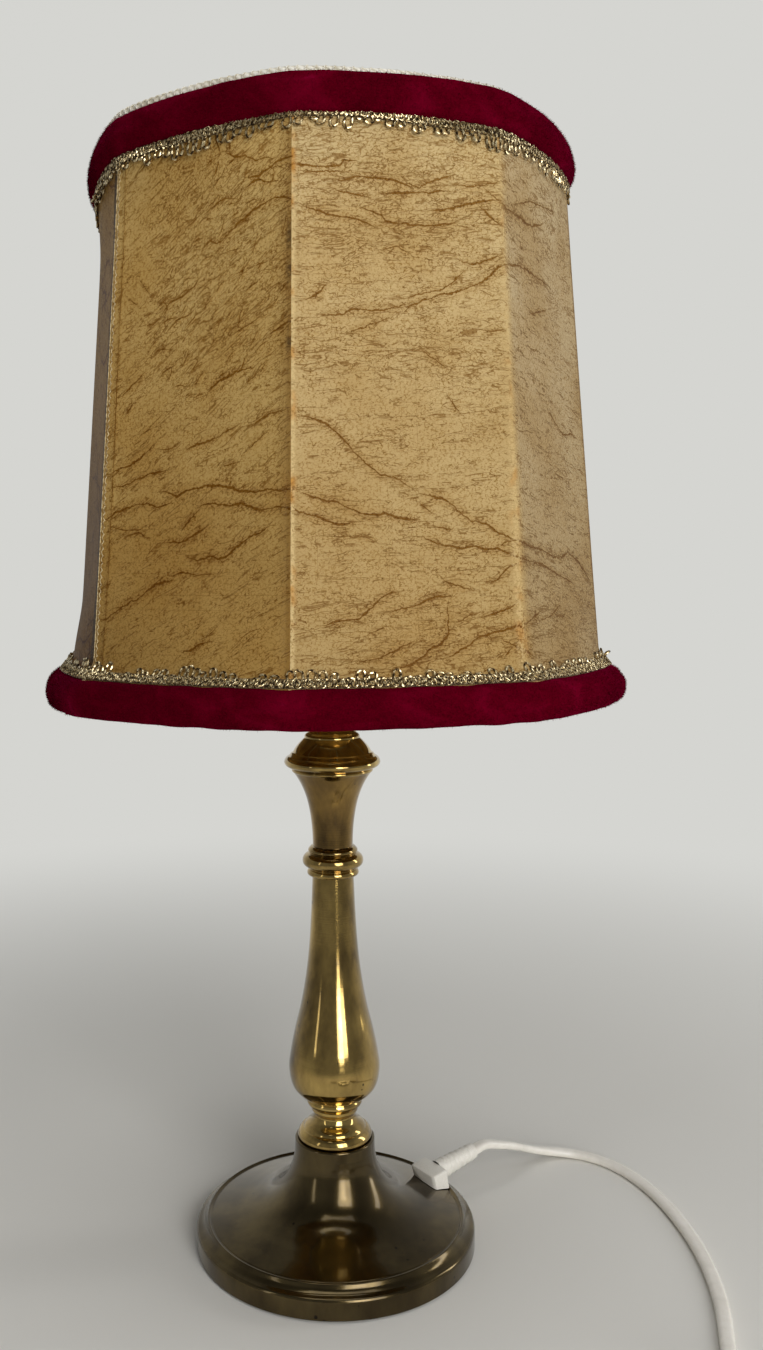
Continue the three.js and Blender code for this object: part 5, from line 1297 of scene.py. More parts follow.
def crease_distance(spots, group):
    """Signed distance to the nearest crease, in millimetres of a full crease's width. It grows steeply
    towards a crease's ends and away from it, so that no line shows where the sign only changes."""
    result = np.full(len(spots), NO_CREASE)
    best = np.full(len(spots), FAR_OFF)
    beyond = 12
    for strength, line, _ in group:
        low, high = line.min(0) - beyond, line.max(0) + beyond
        at = np.flatnonzero(((spots >= low) & (spots <= high)).all(1))
        if not len(at):
            continue
        here = spots[at]
        steps = np.linalg.norm(np.diff(line, axis=0), axis=1)
        starts = np.concatenate([[0], np.cumsum(steps)])
        near = np.full(len(at), FAR_OFF)
        side, way = np.ones(len(at)), np.zeros(len(at))
        for k, (a, b) in enumerate(zip(line, line[1:])):
            t = np.clip(((here - a) @ (b - a)) / max(steps[k] ** 2, 1e-9), 0, 1)
            off = here - a - t[:, None] * (b - a)
            gap = np.linalg.norm(off, axis=1)
            closer = gap < near
            near[closer] = gap[closer]
            turn = (b - a)[0] * off[:, 1] - (b - a)[1] * off[:, 0]
            side[closer] = np.where(turn[closer] < 0, -1, 1)
            way[closer] = starts[k] + t[closer] * steps[k]
        from_end = np.minimum(way, starts[-1] - way)
        end = smooth(from_end / min(6.0, starts[-1] * 0.4)) * 0.75 + 0.25
        wide = near / (strength * end) * (1 + (near / CREASE_REACH) ** 3)
        wide = np.where(from_end < 1e-6, wide + 4, wide)
        keep = near < best[at]
        best[at[keep]] = near[keep]
        result[at[keep]] = (side * np.minimum(wide, NO_CREASE))[keep]
    return result


def panel_shares():
    """Even columns, closer at the folds, where the parchment rounds the ribs."""
    share = np.linspace(0, 1, PANEL_COLUMNS + 1)
    fold = np.array([0, 0.004, 0.009, 0.015, 0.022, 0.030, 0.039])
    return np.concatenate([fold, share[(share > 0.047) & (share < 0.953)], 1 - fold[::-1]])


def panel_marks(index, share, h):
    """What the finish reads at each point of a panel: its creases, stretch, tone, worn folds, smudges and painted
    shade.
    Places 0, 1 and 2 are the panels left, in the middle and right of the photograph, and the last is
    the sliver at its left edge. The others have creases of their own."""
    rng = np.random.default_rng(40 + index)
    place = (index - SEAM_RIB) % RIBS
    left = place * PANEL_WIDTH
    x, h = [v.ravel() for v in np.broadcast_arrays(share * PANEL_WIDTH, h)]
    spots = np.stack([left + x, h], -1)
    shown = place < len(FRONT_LIES)
    lie = FRONT_LIES[place] if shown else rng.uniform(-25, 25)
    if shown:
        start, end = left - 1, left + PANEL_WIDTH + 1
        creases = [crease for crease in front_creases if any(start < p[0] < end for p in crease[1:])]
    else:
        creases = walked_creases(rng, left, lie, 22)
    if place == 0:
        creases = creases + crushed_creases(rng)
    fields = np.stack([crease_distance(spots, g) for g in crease_groups(creases)], -1)
    tilt = math.radians(lie)
    along = x * math.cos(tilt) + h * math.sin(tilt)
    across = h * math.cos(tilt) - x * math.sin(tilt)
    if place == 0:
        density = 0.35 + 0.65 * smooth((x - 12) / 20) * smooth((h - 112) / 25)
        tone = np.full(len(x), 0.0)
    elif place == 1:
        density = 0.3 + 0.5 * smooth((h - 150) / 15) + 0.45 * np.exp(-((h - 126) / 10) ** 2)
        density = density + 0.3 * smooth((50 - h) / 25)
        tone = np.full(len(x), 0.5)
    elif place == 2:
        density = 0.4 + 0.4 * smooth((60 - h) / 30) + 0.3 * smooth((h - 160) / 20)
        tone = 0.5 + 0.3 * smooth(x / 6)
    else:
        density = 0.3 + 0.6 * rng.random() * smooth((h - rng.uniform(60, 150)) / 30)
        picked = rng.uniform(0.05, 0.6)
        # The sliver takes the darker copy of the skin, painted shade
        tone = np.full(len(x), 1.0 if place == RIBS - 1 else picked)

    # Folds: rubbed on the rib at the panel's left, rubbed on the one at its right, and beside that one, on all but
    # the middle panel, darkened with painted shade
    right = PANEL_WIDTH - x
    low = smooth((190 - h) / 150)
    left_wear = {0: 0.0, 1: 1.0}.get(place, 0.5)
    right_wear = 0.4 + 0.3 * low if place == 1 else 0.2
    worn = left_wear * smooth((2.5 - x) / 1.9)
    worn = np.maximum(worn, right_wear * smooth((2.2 + 2.4 * low - right) / 2.6))
    # dark is painted shade: a band beside the right rib, and on the left panel a wider band and a darkening towards
    # the bottom
    dark = 0.75 * smooth((3.4 - right) / 2.6) if place != 1 else np.zeros(len(x))
    if place == 0:
        dark = np.maximum(dark, 0.5 * smooth((7 - right) / 6))
        dark = np.maximum(dark, 0.3 * smooth((120 - h) / 110))
    smudge_and_seam_shade = np.zeros(len(x))
    if place == 0:
        for middle, tall in ((163, 4.2), (152, 3.0), (128, 2.2)):
            smudge_and_seam_shade = np.maximum(smudge_and_seam_shade, 0.75 * np.exp(-((h - middle) / tall) ** 2) * smooth((2.6 - right) / 1.6))
    # On the sliver the smudge mark is painted shade in a strip along the lapped seam, and the dark mark is painted
    # shade towards its bottom
    if place == RIBS - 1:
        smudge_and_seam_shade = smooth((5.4 - right) / 0.8)
        dark = 0.75 * smooth((175 - h) / 150)
    return {
        "crease_a": fields[:, :3], "crease_b": fields[:, 3:6], "crease_c": fields[:, 6:],
        "flow": np.stack([along, across, density], -1), "tone": tone,
        "fold": np.stack([worn, dark, smudge_and_seam_shade], -1),
    }


def panel(index):
    """One panel: the outside, the inside and the cut edges between them."""
    share = panel_shares()[None]
    angle = TURN / RIBS * (index + share)
    h = np.linspace(COVER_LOW, COVER_HIGH, PANEL_ROWS + 1)[:, None]
    slack = np.zeros(np.broadcast_shapes(angle.shape, h.shape))
    for row in range(slack.shape[0]):
        for column in range(slack.shape[1]):
            where = Vector((float(angle[0, column]) * 2.2, float(h[row, 0]) / 60, 3.7))
            slack[row, column] = noise.noise(where)
    slack = 0.28 * slack * np.sin(math.pi * share) * np.sin(math.pi * h / SHADE_HEIGHT)
    outside = on_cover(angle, h, slack - 0.05, FOLD_EASE)
    inside = on_cover(angle, h, slack - COVER_THICKNESS + 0.1, FOLD_EASE)
    sheets = [
        patch(outside),
        patch(inside[:, ::-1]),
        patch(np.stack([outside[:, 0], inside[:, 0]], 1)[::-1]),
        patch(np.stack([outside[:, -1], inside[:, -1]], 1)),
        patch(np.stack([outside[0], inside[0]])[:, ::-1]),
        patch(np.stack([outside[-1], inside[-1]])),
    ]
    marks = panel_marks(index, share, h)
    rest = sum(len(sheet[0]) for sheet in sheets[1:])
    for key, values in marks.items():
        spare = NO_CREASE if key.startswith("crease") else marks["tone"][0] if key == "tone" else 0.0
        marks[key] = np.concatenate([values, np.full((rest, *values.shape[1:]), spare)])
    return sheets, marks


for index in range(RIBS):
    sheets, marks = panel(index)
    piece(f"cover_parchment_{index + 1}", sheets, cover_parchment, "shade",
          f"cover_panel_{index + 1}", marks=marks)


def seam_stitches():
    """Lockstitch of linen thread close to the lapped edge, a stitch every 1.3 mm, and the raised cut edge."""
    stitches = []
    low, high = 12, 208
    for k, h in enumerate(np.arange(low, high, STITCH_LENGTH)):
        lean = 0.28 if k % 2 else -0.28
        heights = h + np.array([-0.1, 0.15, 0.6, 1.0, 1.2])
        across = 1.35 + lean * np.array([-1.1, -1, 0, 1, 1.1])
        outs = np.array([-0.15, 0.1, 0.16, 0.1, -0.15])
        angle = TURN * SEAM_RIB / RIBS + across / ALONG
        stitches.append(sweep(on_cover(angle, heights, outs, FOLD_EASE), outward_at(angle), oval(0.4, 0.34, 6)))
    heights = np.linspace(low, high, 160)
    wander = np.array([noise.noise(Vector((0.3, h / 4, 8.1))) for h in heights])
    angle = TURN * SEAM_RIB / RIBS + (0.12 + 0.12 * wander) / ALONG
    edge = on_cover(angle, heights, 0.06 + 0.05 * wander, FOLD_EASE)
    stitches.append(sweep(edge, outward_at(angle), oval(0.42, 0.36, 6), scale=rounded_ends(len(heights))))
    return stitches


piece("seam_thread_linen", seam_stitches(), seam_linen, "shade", ())


# Tape folded over the top wire, with the stitches that hold it

TAPE_LOW = 212.8
TAPE_STITCHES = 190


def tape():
    """The folded tape, from its outer edge over the wire to its inner edge and back."""
    low, high = TAPE_LOW, SHADE_HEIGHT
    outer = [
        (0.75, low), (0.8, low + 2), (0.8, high - 2.2), (0.6, high - 1.0), (0.0, high - 0.3), (-1.0, high),
    ]
    inner = [
        (-3.4, high), (-4.5, high - 0.5), (-4.9, high - 1.6), (-5.0, low + 1), (-4.5, low),
        (-4.4, high - 1.8), (-3.9, high - 0.7), (-2.6, high - 0.5), (-0.8, high - 0.6), (0.25, high - 1.6),
        (0.3, low),
    ]
    rows = []
    wave = drift(around, 9, 4.1)
    for out, height in outer + inner:
        lift = 0.12 * wave * (height > high - 2.5)
        rows.append(on_cover(around, height, 0, 0.04, True) + outward_at(around) * out + UP * lift[:, None])
    return patch(np.stack(rows), wrap_rows=True, wrap_columns=True)


def tape_stitches():
    """Slanted whip stitches over the wire, about 3 mm apart."""
    stitches = []
    for k in range(TAPE_STITCHES):
        a = TURN * k / TAPE_STITCHES
        angles = a + np.array([-0.006, -0.004, 0.0, 0.006, 0.012, 0.015, 0.016])
        outs = np.array([0.7, 1.0, 0.75, -0.9, -3.2, -4.6, -5.1])
        heights = SHADE_HEIGHT - np.array([2.6, 1.7, 0.7, 0.0, 0.0, 1.0, 2.6]) + 0.02
        line = on_cover(angles, heights, 0, 0.04, True) + outward_at(angles) * outs[:, None]
        stitches.append(sweep(spline(line, 3), UP, oval(0.5, 0.4, 6)))
    return stitches


piece("tape_woven", [tape(), *tape_stitches()], tape_cotton, "shade", "ring_tape")


# Velvet bands

def velvet_rows(low, high, gap, stand, seed, around=720, across=26):
    """The band's face: rounded at both edges, with the shallow valley and slack that a gathered ribbon has."""
    angle = np.arange(around) * TURN / around
    wander, valley, stretch = drift(angle, 2.6, seed), drift(angle, 1.7, seed + 9), drift(angle, 7, seed + 4)
    edge = drift(angle, 11, seed + 2)
    t = np.linspace(0, 1, across)[:, None]
    crown = np.sin(math.pi * np.clip(t, 0.0, 1.0)) ** 0.42
    dip = (0.35 + 0.5 * np.clip(valley, 0, 1)) * np.exp(-((t - 0.66 - 0.08 * wander) / 0.13) ** 2)
    rolled = np.exp(-(t / 0.1) ** 2) + np.exp(-((1 - t) / 0.1) ** 2)
    fold = 0.16 * stretch * np.sin(math.pi * t) + 0.12 * edge * rolled
    out = gap + (stand - 0.35 + 0.2 * wander) * crown - dip * crown + fold
    shifted = np.exp(-(t / 0.15) ** 2) - np.exp(-((1 - t) / 0.15) ** 2)
    h = low + (high - low) * t + 0.22 * edge * shifted + 0.15
    return angle, np.maximum(out, gap), np.broadcast_to(h, out.shape)


def velvet_face(low, high, gap, stand, seed, lifted):
    """The whole band with its flat back, and the grid of its face for the pile."""
    angle, out, h = velvet_rows(low, high, gap, stand, seed)
    lift = lifted * sewn_lift(angle)
    face = [on_cover(angle, h[k] + lift, out[k], 0.06, True) for k in range(len(h))]
    back_at = (0.94, 0.7, 0.4, 0.06)
    back = [on_cover(angle, low + (high - low) * t + lift, gap, 0.02, True) for t in back_at]
    return patch(np.stack(face + back), wrap_rows=True, wrap_columns=True), np.stack(face)


def velvet_pile(face, seed, count, length=0.8):
    """Single hairs of the pile, which soften the band's outline."""
    rng = np.random.default_rng(seed)
    rows, columns = face.shape[:2]
    r = rng.uniform(0.5, rows - 1.5, count)
    c = rng.integers(0, columns, count)
    low = np.floor(r).astype(int)
    part = (r - low)[:, None]
    root = face[low, c] * (1 - part) + face[low + 1, c] * part
    across = face[low + 1, c] - face[low, c]
    along = face[low, (c + 1) % columns] - face[low, c]
    root = root + along * rng.uniform(0, 1, (count, 1))
    out = unit(np.cross(along, across))
    lean = unit(out + 0.55 * rng.normal(size=(count, 3)) * [1, 1, 1] - 0.25 * UP)
    side = unit(np.cross(lean, rng.normal(size=(count, 3))))
    tip = root + lean * length * rng.uniform(0.5, 1.25, (count, 1))
    foot_half, tip_half = 0.07, 0.015
    corners = np.stack([
        root - side * foot_half, root + side * foot_half, tip + side * tip_half, tip - side * tip_half,
    ], 1)
    faces = np.arange(count * 4).reshape(count, 4)
    return corners.reshape(-1, 3), faces, np.zeros((count, 4, 2))


BAND_STAND = 3.6

for name, node, band, gap, seed, hairs, lifted in (
    ("velvet_top", "velvet_band_top", TOP_BAND, 1.1, 11, 26000, 1),
    ("velvet_bottom", "velvet_band_bottom", BOTTOM_BAND, 0.3, 23, 34000, 0),
):
    surface, face = velvet_face(*band, gap, BAND_STAND, seed, lifted)
    velvet_band = piece(name, [surface, velvet_pile(face, seed, hairs)], band_velvet, "shade", node)


# Metallic braid: a knitted heading beside the velvet, and picot loops of doubled thread

THREAD = 0.3
LOOP_THREAD = 0.42
WIRE_THREAD = 0.13
TUCKED_AT = math.radians(272)


def braid_base(angle, base, way):
    """Height of the braid's sewn edge. The top one follows the velvet, and is tucked under it at the front."""
    if way > 0:
        return base + np.zeros_like(np.asarray(angle, float))
    front = np.mod(np.asarray(angle, float) + SHADE_TURN, TURN) - TUCKED_AT
    return base + sewn_lift(angle) + 0.4 + 1.9 * np.exp(-(front / 0.30) ** 2)


def braid_line(angle, base, way, across, out):
    """Points of a thread: across runs from the velvet's edge over the braid, up or down."""
    on_edge = on_cover(angle, braid_base(angle, base, way) + way * across, 0, 0.03)
    return on_edge + outward_at(angle) * (FIT + np.asarray(out, float))[..., None]


def running_thread(base, way, across, out, pitch_count, swing, lift, phase, steps=6, radius=THREAD):
    """A thread that goes all the way round and swings to and fro as it is knitted in."""
    count = pitch_count * steps
    angle = np.arange(count) * TURN / count
    swung = TURN * np.arange(count) / steps + phase
    line = braid_line(angle, base, way, across + swing * np.sin(swung), out + lift * np.cos(2 * swung + phase))
    return sweep(line, outward_at(angle), oval(2 * radius, 2 * radius, 6), closed=True)


def picot(base, way, angle, width, length, out, lean, curl, radius=LOOP_THREAD):
    """One loop of thread that leaves the heading, turns and comes back."""
    turn = np.linspace(0, math.pi, 15)
    wide = np.sin(turn) ** 0.6 * 1.05 + 0.4
    side = -np.cos(turn) * wide * width / 2
    reach = np.sin(turn) ** 0.8
    across = 2.2 + reach * length
    radius_here = cover_radius(base)
    angles = angle + (side + lean * reach) / radius_here
    lift = out + curl * reach ** 2
    line = braid_line(angles, base, way, across, lift)
    return sweep(line, outward_at(angles), oval(2 * radius, 2 * radius, 6), scale=rounded_ends(15, (0.1, 0.9)))


def gimp(base, way, count, seed, strays):
    """A knitted heading of close upright stitches with fine wire crossed over it, and the loops.
    Some loops were tucked in or pulled out as the braid was sewn on."""
    rng = np.random.default_rng(seed)
    stitches = int(count * 2.3)
    threads = [
        running_thread(base, way, 1.75, 0.6, stitches, 1.3, 0.12, 0.0),
        running_thread(base, way, 1.65, 0.75, stitches, 1.15, 0.12, 2.6),
        running_thread(base, way, 1.7, 1.2, count // 2, 1.3, 0.05, 0.0, steps=14, radius=WIRE_THREAD),
        running_thread(base, way, 1.7, 1.25, count // 2, 1.3, 0.05, 2.2, steps=14, radius=WIRE_THREAD),
    ]
    wear = drift(np.arange(count) * TURN / count, 5, seed)
    for k in range(count):
        angle = TURN * (k + rng.uniform(-0.3, 0.3)) / count
        tall = np.clip((4.3 if way < 0 else 2.7) + 1.2 * wear[k] + rng.uniform(-2.2, 1.4), 0.6, 6.0)
        wide = rng.uniform(2.5, 3.2)
        out = rng.uniform(0.3, 0.7)
        lean = rng.uniform(-1.1, 1.1)
        curl = rng.uniform(-0.1, 0.9)
        threads.append(picot(base, way, angle, wide, tall, out, lean, curl))
    for degrees, tall, lean, curl in strays:
        threads.append(picot(base, way, math.radians(degrees), 2.6, tall, 0.8, lean, curl))
    return threads


def gimp_backing(base, way):
    """The close ground of the heading, darker because the threads over it shade it."""
    rows = []
    for across, out in ((0.1, 0.0), (0.1, 0.35), (1.6, 0.5), (3.1, 0.35), (3.1, 0.0)):
        rows.append(braid_line(around, base, way, across, out))
    return patch(np.stack(rows), wrap_rows=True, wrap_columns=True)


# Loops that stray: their angle on the shade in degrees, length, lean and how far they stand off
top_strays = ((213, 4.6, -1.0, 2.2), (209, 4.8, 0.5, 2.6), (204, 4.2, 1.0, 2.4))
bottom_strays = ((-4, 3.4, 0.0, 3.6), (1, 2.8, 1.0, 3.4), (251, 4.6, 0.4, 1.6))
for name, node, base, way, count, seed, strays in (
    ("gimp_top", "braid_top", TOP_BAND[0], -1, 150, 5, top_strays),
    ("gimp_bottom", "braid_bottom", BOTTOM_BAND[1] + 0.2, 1, 176, 8, bottom_strays),
):
    piece(name, gimp(base, way, count, seed, strays), gimp_thread, "shade", node)
    piece(f"{name}_ground", gimp_backing(base, way), shaded_gimp_ground, "shade", ())


# Flex bushing

def in_bushing(points):
    """From the bushing's own length, width and height to the table."""
    points = np.asarray(points, float)
    x = points[..., 0] * math.cos(BUSHING_RISE) - points[..., 2] * math.sin(BUSHING_RISE)
    z = points[..., 0] * math.sin(BUSHING_RISE) + points[..., 2] * math.cos(BUSHING_RISE)
    y = points[..., 1]
    return np.stack([
        x * math.cos(BUSHING_TURN) - y * math.sin(BUSHING_TURN),
        x * math.sin(BUSHING_TURN) + y * math.cos(BUSHING_TURN),
        z,
    ], -1) + BUSHING_AT


def rounded_rectangle(width, height, corner, steps=5):
    """A closed loop round the middle, with so many points to each corner."""
    spots = []
    for k, (sx, sy) in enumerate(((1, 1), (-1, 1), (-1, -1), (1, -1))):
        for a in np.linspace(0, math.pi / 2, steps):
            turn = a + k * math.pi / 2
            spots.append((sx * (width / 2 - corner) + corner * math.cos(turn),
                          sy * (height / 2 - corner) + corner * math.sin(turn)))
    return np.array(spots)


def base_height(radius):
    """Height of the low cone at a distance from the axis."""
    radii = [16, 21.4, 25.2, 30, 36, 42, 48, 54, 56]
    heights = [60, 28.8, 23.9, 20.2, 17.7, 15.9, 14.3, 12.7, 12.7]
    return float(np.interp(radius, radii, heights))


def bushing_block():
    """Moulded block across the flex: its foot follows the cone, its edges are rounded."""
    section = rounded_rectangle(16, 11, 1.2)
    rings = []
    for x, shrink in (
        (-BLOCK_HALF, 0.8), (-4.2, 0.94), (-3.6, 1.0), (3.6, 1.0), (4.2, 0.94),
        (BLOCK_HALF, 0.8), (BLOCK_HALF, 0.3), (BLOCK_HALF, 0.02),
    ):
        ring = np.stack([np.full(len(section), x), section[:, 0] * shrink, section[:, 1] * shrink - 1.5], -1)
        rings.append(in_bushing(ring))
    first = rings[0]
    rings.insert(0, first.mean(0) + (first - first.mean(0)) * 0.02)
    rings = np.stack(rings)
    for ring in rings:
        for spot in ring:
            spot[2] = max(spot[2], base_height(math.hypot(spot[0], spot[1])) + 0.25)
    return patch(rings, wrap_columns=True)


def bushing_sleeve():
    """Tapered sleeve with bend-relief ribs round it."""
    tip = BLOCK_HALF + SLEEVE_LENGTH
    along = np.linspace(4.2, tip, 90)
    radius = 4.6 - 1.1 * (along - BLOCK_HALF) / SLEEVE_LENGTH
    ribs = 0.28 * np.cos(TURN * along / 3.0) * smooth((along - 7) / 1.5) * smooth((25.2 - along) / 1.5)
    radius = radius + np.minimum(ribs, 0.1)
    sides = 40
    turn = np.arange(sides) * TURN / sides
    mouth = [(tip, 3.0, 2.1), (tip - 2, 2.95, 1.95)]
    rings = [
        np.stack([np.full(sides, x), wide * np.cos(turn), tall * np.sin(turn)], -1)
        for x, wide, tall in [*zip(along, radius, radius), *mouth]
    ]
    return patch(in_bushing(np.stack(rings)), wrap_columns=True)


piece("flex_bushing_moulded", [bushing_block(), bushing_sleeve()],
      fitting_plastic, "lamp", "cord_bushing")


# Switch, plug and the tie round the coil

def stacked(loops):
    """A closed shell through flat loops of the same number of points, from its foot to its top."""
    loops = [np.asarray(loop, float) for loop in loops]
    foot, top = [loop.mean(0) + (loop - loop.mean(0)) * 0.01 for loop in (loops[0], loops[-1])]
    return patch(np.stack([foot, *loops, top]), wrap_columns=True)


def resampled(loop, count):
    """The same closed loop with so many points at even steps."""
    loop = np.concatenate([loop, loop[:1]])
    gone = np.concatenate([[0], np.cumsum(np.linalg.norm(np.diff(loop, axis=0), axis=1))])
    at = np.linspace(0, gone[-1], count, endpoint=False)
    return np.stack([np.interp(at, gone, loop[:, k]) for k in range(2)], -1)


def inset(loop, amount):
    """The loop moved inwards, square to itself. Loops run anticlockwise."""
    ahead = unit(np.roll(loop, -1, 0) - np.roll(loop, 1, 0))
    return loop + np.stack([-ahead[:, 1], ahead[:, 0]], -1) * np.asarray(amount, float).reshape(-1, 1)


def at_height(loop, z):
    return np.concatenate([loop, np.full((len(loop), 1), float(z))], 1)


SWITCH_HALF_LENGTH = 32.0
SWITCH_HALF_WIDTH = 13.0


def switch_outline():
    """The switch from above: long sides that round off towards narrower ends."""
    half, side = SWITCH_HALF_LENGTH, SWITCH_HALF_WIDTH
    corner = bend((half - 14, -side), (half - 2, -side), (half, -0.64 * side))
    right = np.concatenate([corner, corner[::-1] * [1, -1]])
    return resampled(np.concatenate([right, -right]), 160)


def in_switch(points):
    """From the switch's own length, width and height to the table."""
    return np.stack([SWITCH_X - points[..., 1], SWITCH_Y + points[..., 0], points[..., 2]], -1)


def window_loop(outline, length, width):
    """A rounded opening whose points face those of the outline."""
    turn = np.arctan2(outline[:, 1], outline[:, 0])
    reach = (np.abs(np.cos(turn) / length) ** 12 + np.abs(np.sin(turn) / width) ** 12) ** (-1 / 12)
    return np.stack([reach * np.cos(turn), reach * np.sin(turn)], -1)


def switch_tray_shell():
    """Lower half, with faint grip ribs near both ends and a step at the parting line."""
    outline = switch_outline()
    x = outline[:, 0]
    grip = 0.22 * (0.5 + 0.5 * np.cos(TURN * x / 2.6)) * smooth((np.abs(x) - 15) / 2) * smooth((27 - np.abs(x)) / 2)
    steps = [
        (1.9, 0.2), (0.8, 0.45), (0.2, 1.1), (grip, 2.0), (grip, 5.6), (0.0, 6.2), (0.0, 6.55), (0.35, 6.8),
        (2.0, 6.8), (2.1, 2.4),
    ]
    return stacked([in_switch(at_height(inset(outline, amount), z)) for amount, z in steps])


def switch_cover_shell():
    """Upper half, rounded at the top, with the rocker's opening in it."""
    outline = switch_outline()
    steps = [
        (2.0, 7.0), (0.35, 7.0), (0.0, 7.25), (0.0, 12.6), (0.25, 13.8), (0.9, 14.8), (1.9, 15.4), (3.0, 15.5),
    ]
    opening = [
        (10.2, 6.4, 15.5), (9.6, 5.8, 15.35), (9.0, 5.3, 15.2), (8.6, 4.9, 14.9), (8.45, 4.82, 14.0),
        (8.45, 4.82, 10.2),
    ]
    loops = [at_height(inset(outline, amount), z) for amount, z in steps]
    loops += [at_height(window_loop(outline, length, width), z) for length, width, z in opening]
    return stacked([in_switch(loop) for loop in loops])


ROCKER_TILT = math.radians(8)
ROCKER_PIN_Z = 12.0


def switch_rocker_body():
    """Two flats in a shallow vee, rounded at the edges, with finger ribs, tipped on its pin."""
    x = np.linspace(-7.3, 7.3, 74)
    ribs = 0.14 * np.cos(TURN * x / 1.3) * smooth((np.abs(x) - 2.4) / 0.8) * smooth((6.6 - np.abs(x)) / 0.6)
    top = 3.15 + 1.3 * np.abs(x) / 7.3 + ribs - 0.5 * smooth((np.abs(x) - 6.7) / 0.6)
    under = bend((7.4, 3.9), (6.6, -2.4), (3.75, -2.6), steps=8)
    profile = np.concatenate([np.stack([x, top], -1), under, under[::-1] * [-1, 1]])
    rings = []
    for y, shrink in ((-4.5, 0.93), (-4.4, 0.97), (-4.1, 1.0), (4.1, 1.0), (4.4, 0.97), (4.5, 0.93)):
        p = (profile - [0, 0.5]) * shrink + [0, 0.5]
        along = p[:, 0] * math.cos(ROCKER_TILT) + p[:, 1] * math.sin(ROCKER_TILT)
        up = -p[:, 0] * math.sin(ROCKER_TILT) + p[:, 1] * math.cos(ROCKER_TILT)
        rings.append(in_switch(np.stack([along, np.full(len(p), y), up + ROCKER_PIN_Z], -1)))
    return stacked(rings)


def screw_head(x, y):
    """A countersunk screw head in the switch's underside."""
    profile = [(0.1, 0.25), (1.9, 0.25), (2.2, 0.5), (2.2, 1.6), (2.0, 1.9)]
    points, faces, lay = turned(profile, sides=24, ease=0.05)
    return in_switch(points + [x, y, 0]), faces, lay


piece("switch_tray_moulded", [switch_tray_shell(), screw_head(21, 0), screw_head(-21, 0)],
      fitting_plastic, "lamp", "switch_tray")
piece("switch_cover_moulded", switch_cover_shell(), fitting_plastic, "lamp", "switch_cover")
piece("switch_rocker_moulded", switch_rocker_body(), fitting_plastic, "rocker", "switch_rocker")

PLUG_X = COIL_X - 46 - 36
PIN_SPREAD = 9.3
PIN_RADIUS = 2.0


def plug_outline():
    """The plug from above, from the pins' side at 0 to the flex's at 36."""
    curve = bend((16.2, 13), (27, 13), (30.6, 5.5))
    nose = bend((0.2, 9.6), (0.2, 13), (3.8, 13), steps=8)
    upper = np.concatenate([nose, curve, [(33.5, 4.8), (36, 4.2)]])
    return resampled(np.concatenate([upper, (upper * [1, -1])[::-1]])[::-1], 180)


def plug_shell():
    """Moulded plug: rounded edges, slightly crowned faces, a parting line and grip ribs towards the flex."""
    outline = plug_outline()
    x = outline[:, 0]
    grip = 0.35 * (0.5 + 0.5 * np.cos(TURN * x / 2.4)) * smooth((x - 19) / 1.5) * smooth((33 - x) / 1.5)
    side = [(0.0, 4.6), (0.3, 5.6), (0.9, 6.2), (1.7, 6.5)]
    parting = [(0, -0.25), (0.22, -0.1), (0.22, 0.1), (0, 0.25)]
    crown = [(0.9, 6.6), (0.6, 6.7), (0.3, 6.75)]
    # The neck is too narrow for the whole rounding
    rounding = 1 - 0.7 * smooth((x - 33.2) / 1.2)
    steps = [(amount, -z) for amount, z in side[::-1]] + parting + side
    rings = [at_height(inset(outline, amount * rounding + grip * (abs(z) > 0.15)), z) for amount, z in steps]
    middle = np.array([16, 0])
    flat = inset(outline, side[-1][0] * rounding + grip)
    below = [at_height(middle + (flat - middle) * share, -z) for share, z in crown[::-1]]
    above = [at_height(middle + (flat - middle) * share, z) for share, z in crown]
    return stacked([ring + [PLUG_X, TAIL_Y, PLUG_Z] for ring in below + rings + above])


def along_pin(profile, side, ease):
    """A turned piece laid along one of the plug's pins."""
    points, faces, lay = turned(profile, sides=28, ease=ease)
    points = points[:, ::-1] + [PLUG_X, TAIL_Y + side * PIN_SPREAD, PLUG_Z]
    return points, faces[:, ::-1], lay[:, ::-1]


def plug_pin(side):
    """A pin with a domed tip."""
    return along_pin([
        (AXIS, -23.0), (0.9, -22.8), (1.6, -22.2), (PIN_RADIUS, -21.3), (PIN_RADIUS, 0.0), (PIN_RADIUS, 6.6),
        (AXIS, 6.6),
    ], side, 0.3)


def pin_sleeve(side):
    """The thin plastic sleeve on the half of a pin next to the body."""
    return along_pin([(2.06, -9.6), (2.16, -9.5), (2.16, 0.0), (2.06, 0.05)], side, 0.05)


piece("plug_body_moulded", plug_shell(), fitting_plastic, "lamp", "plug_body")
for side, name in ((-1, "left"), (1, "right")):
    piece(f"plug_pin_turned_{name}", plug_pin(side), cap_nickel, "lamp", f"plug_pin_{name}")
    piece(f"plug_sleeve_{name}", pin_sleeve(side), fitting_plastic, "lamp")


def tie_strap():
    """A strap 4 mm wide, drawn tight round the turns."""
    low, high, near, far, corner = 0.45, 9.75, 21.3, 44.9, 1.6
    box = rounded_rectangle(far - near, high - low, corner, 6) + [(far + near) / 2, (low + high) / 2]
    loop = resampled(box, 220)
    path = np.stack([COIL_X - loop[:, 0], np.full(len(loop), COIL_Y), loop[:, 1]], -1)
    strap = rounded_rectangle(4.0, 0.5, 0.2, 3)
    centre = np.array([COIL_X - (far + near) / 2, COIL_Y, (low + high) / 2])
    return sweep(path, unit(path - centre), strap, closed=True)


piece("tie_strap_moulded", tie_strap(), strap_nylon, "lamp", "cord_tie")


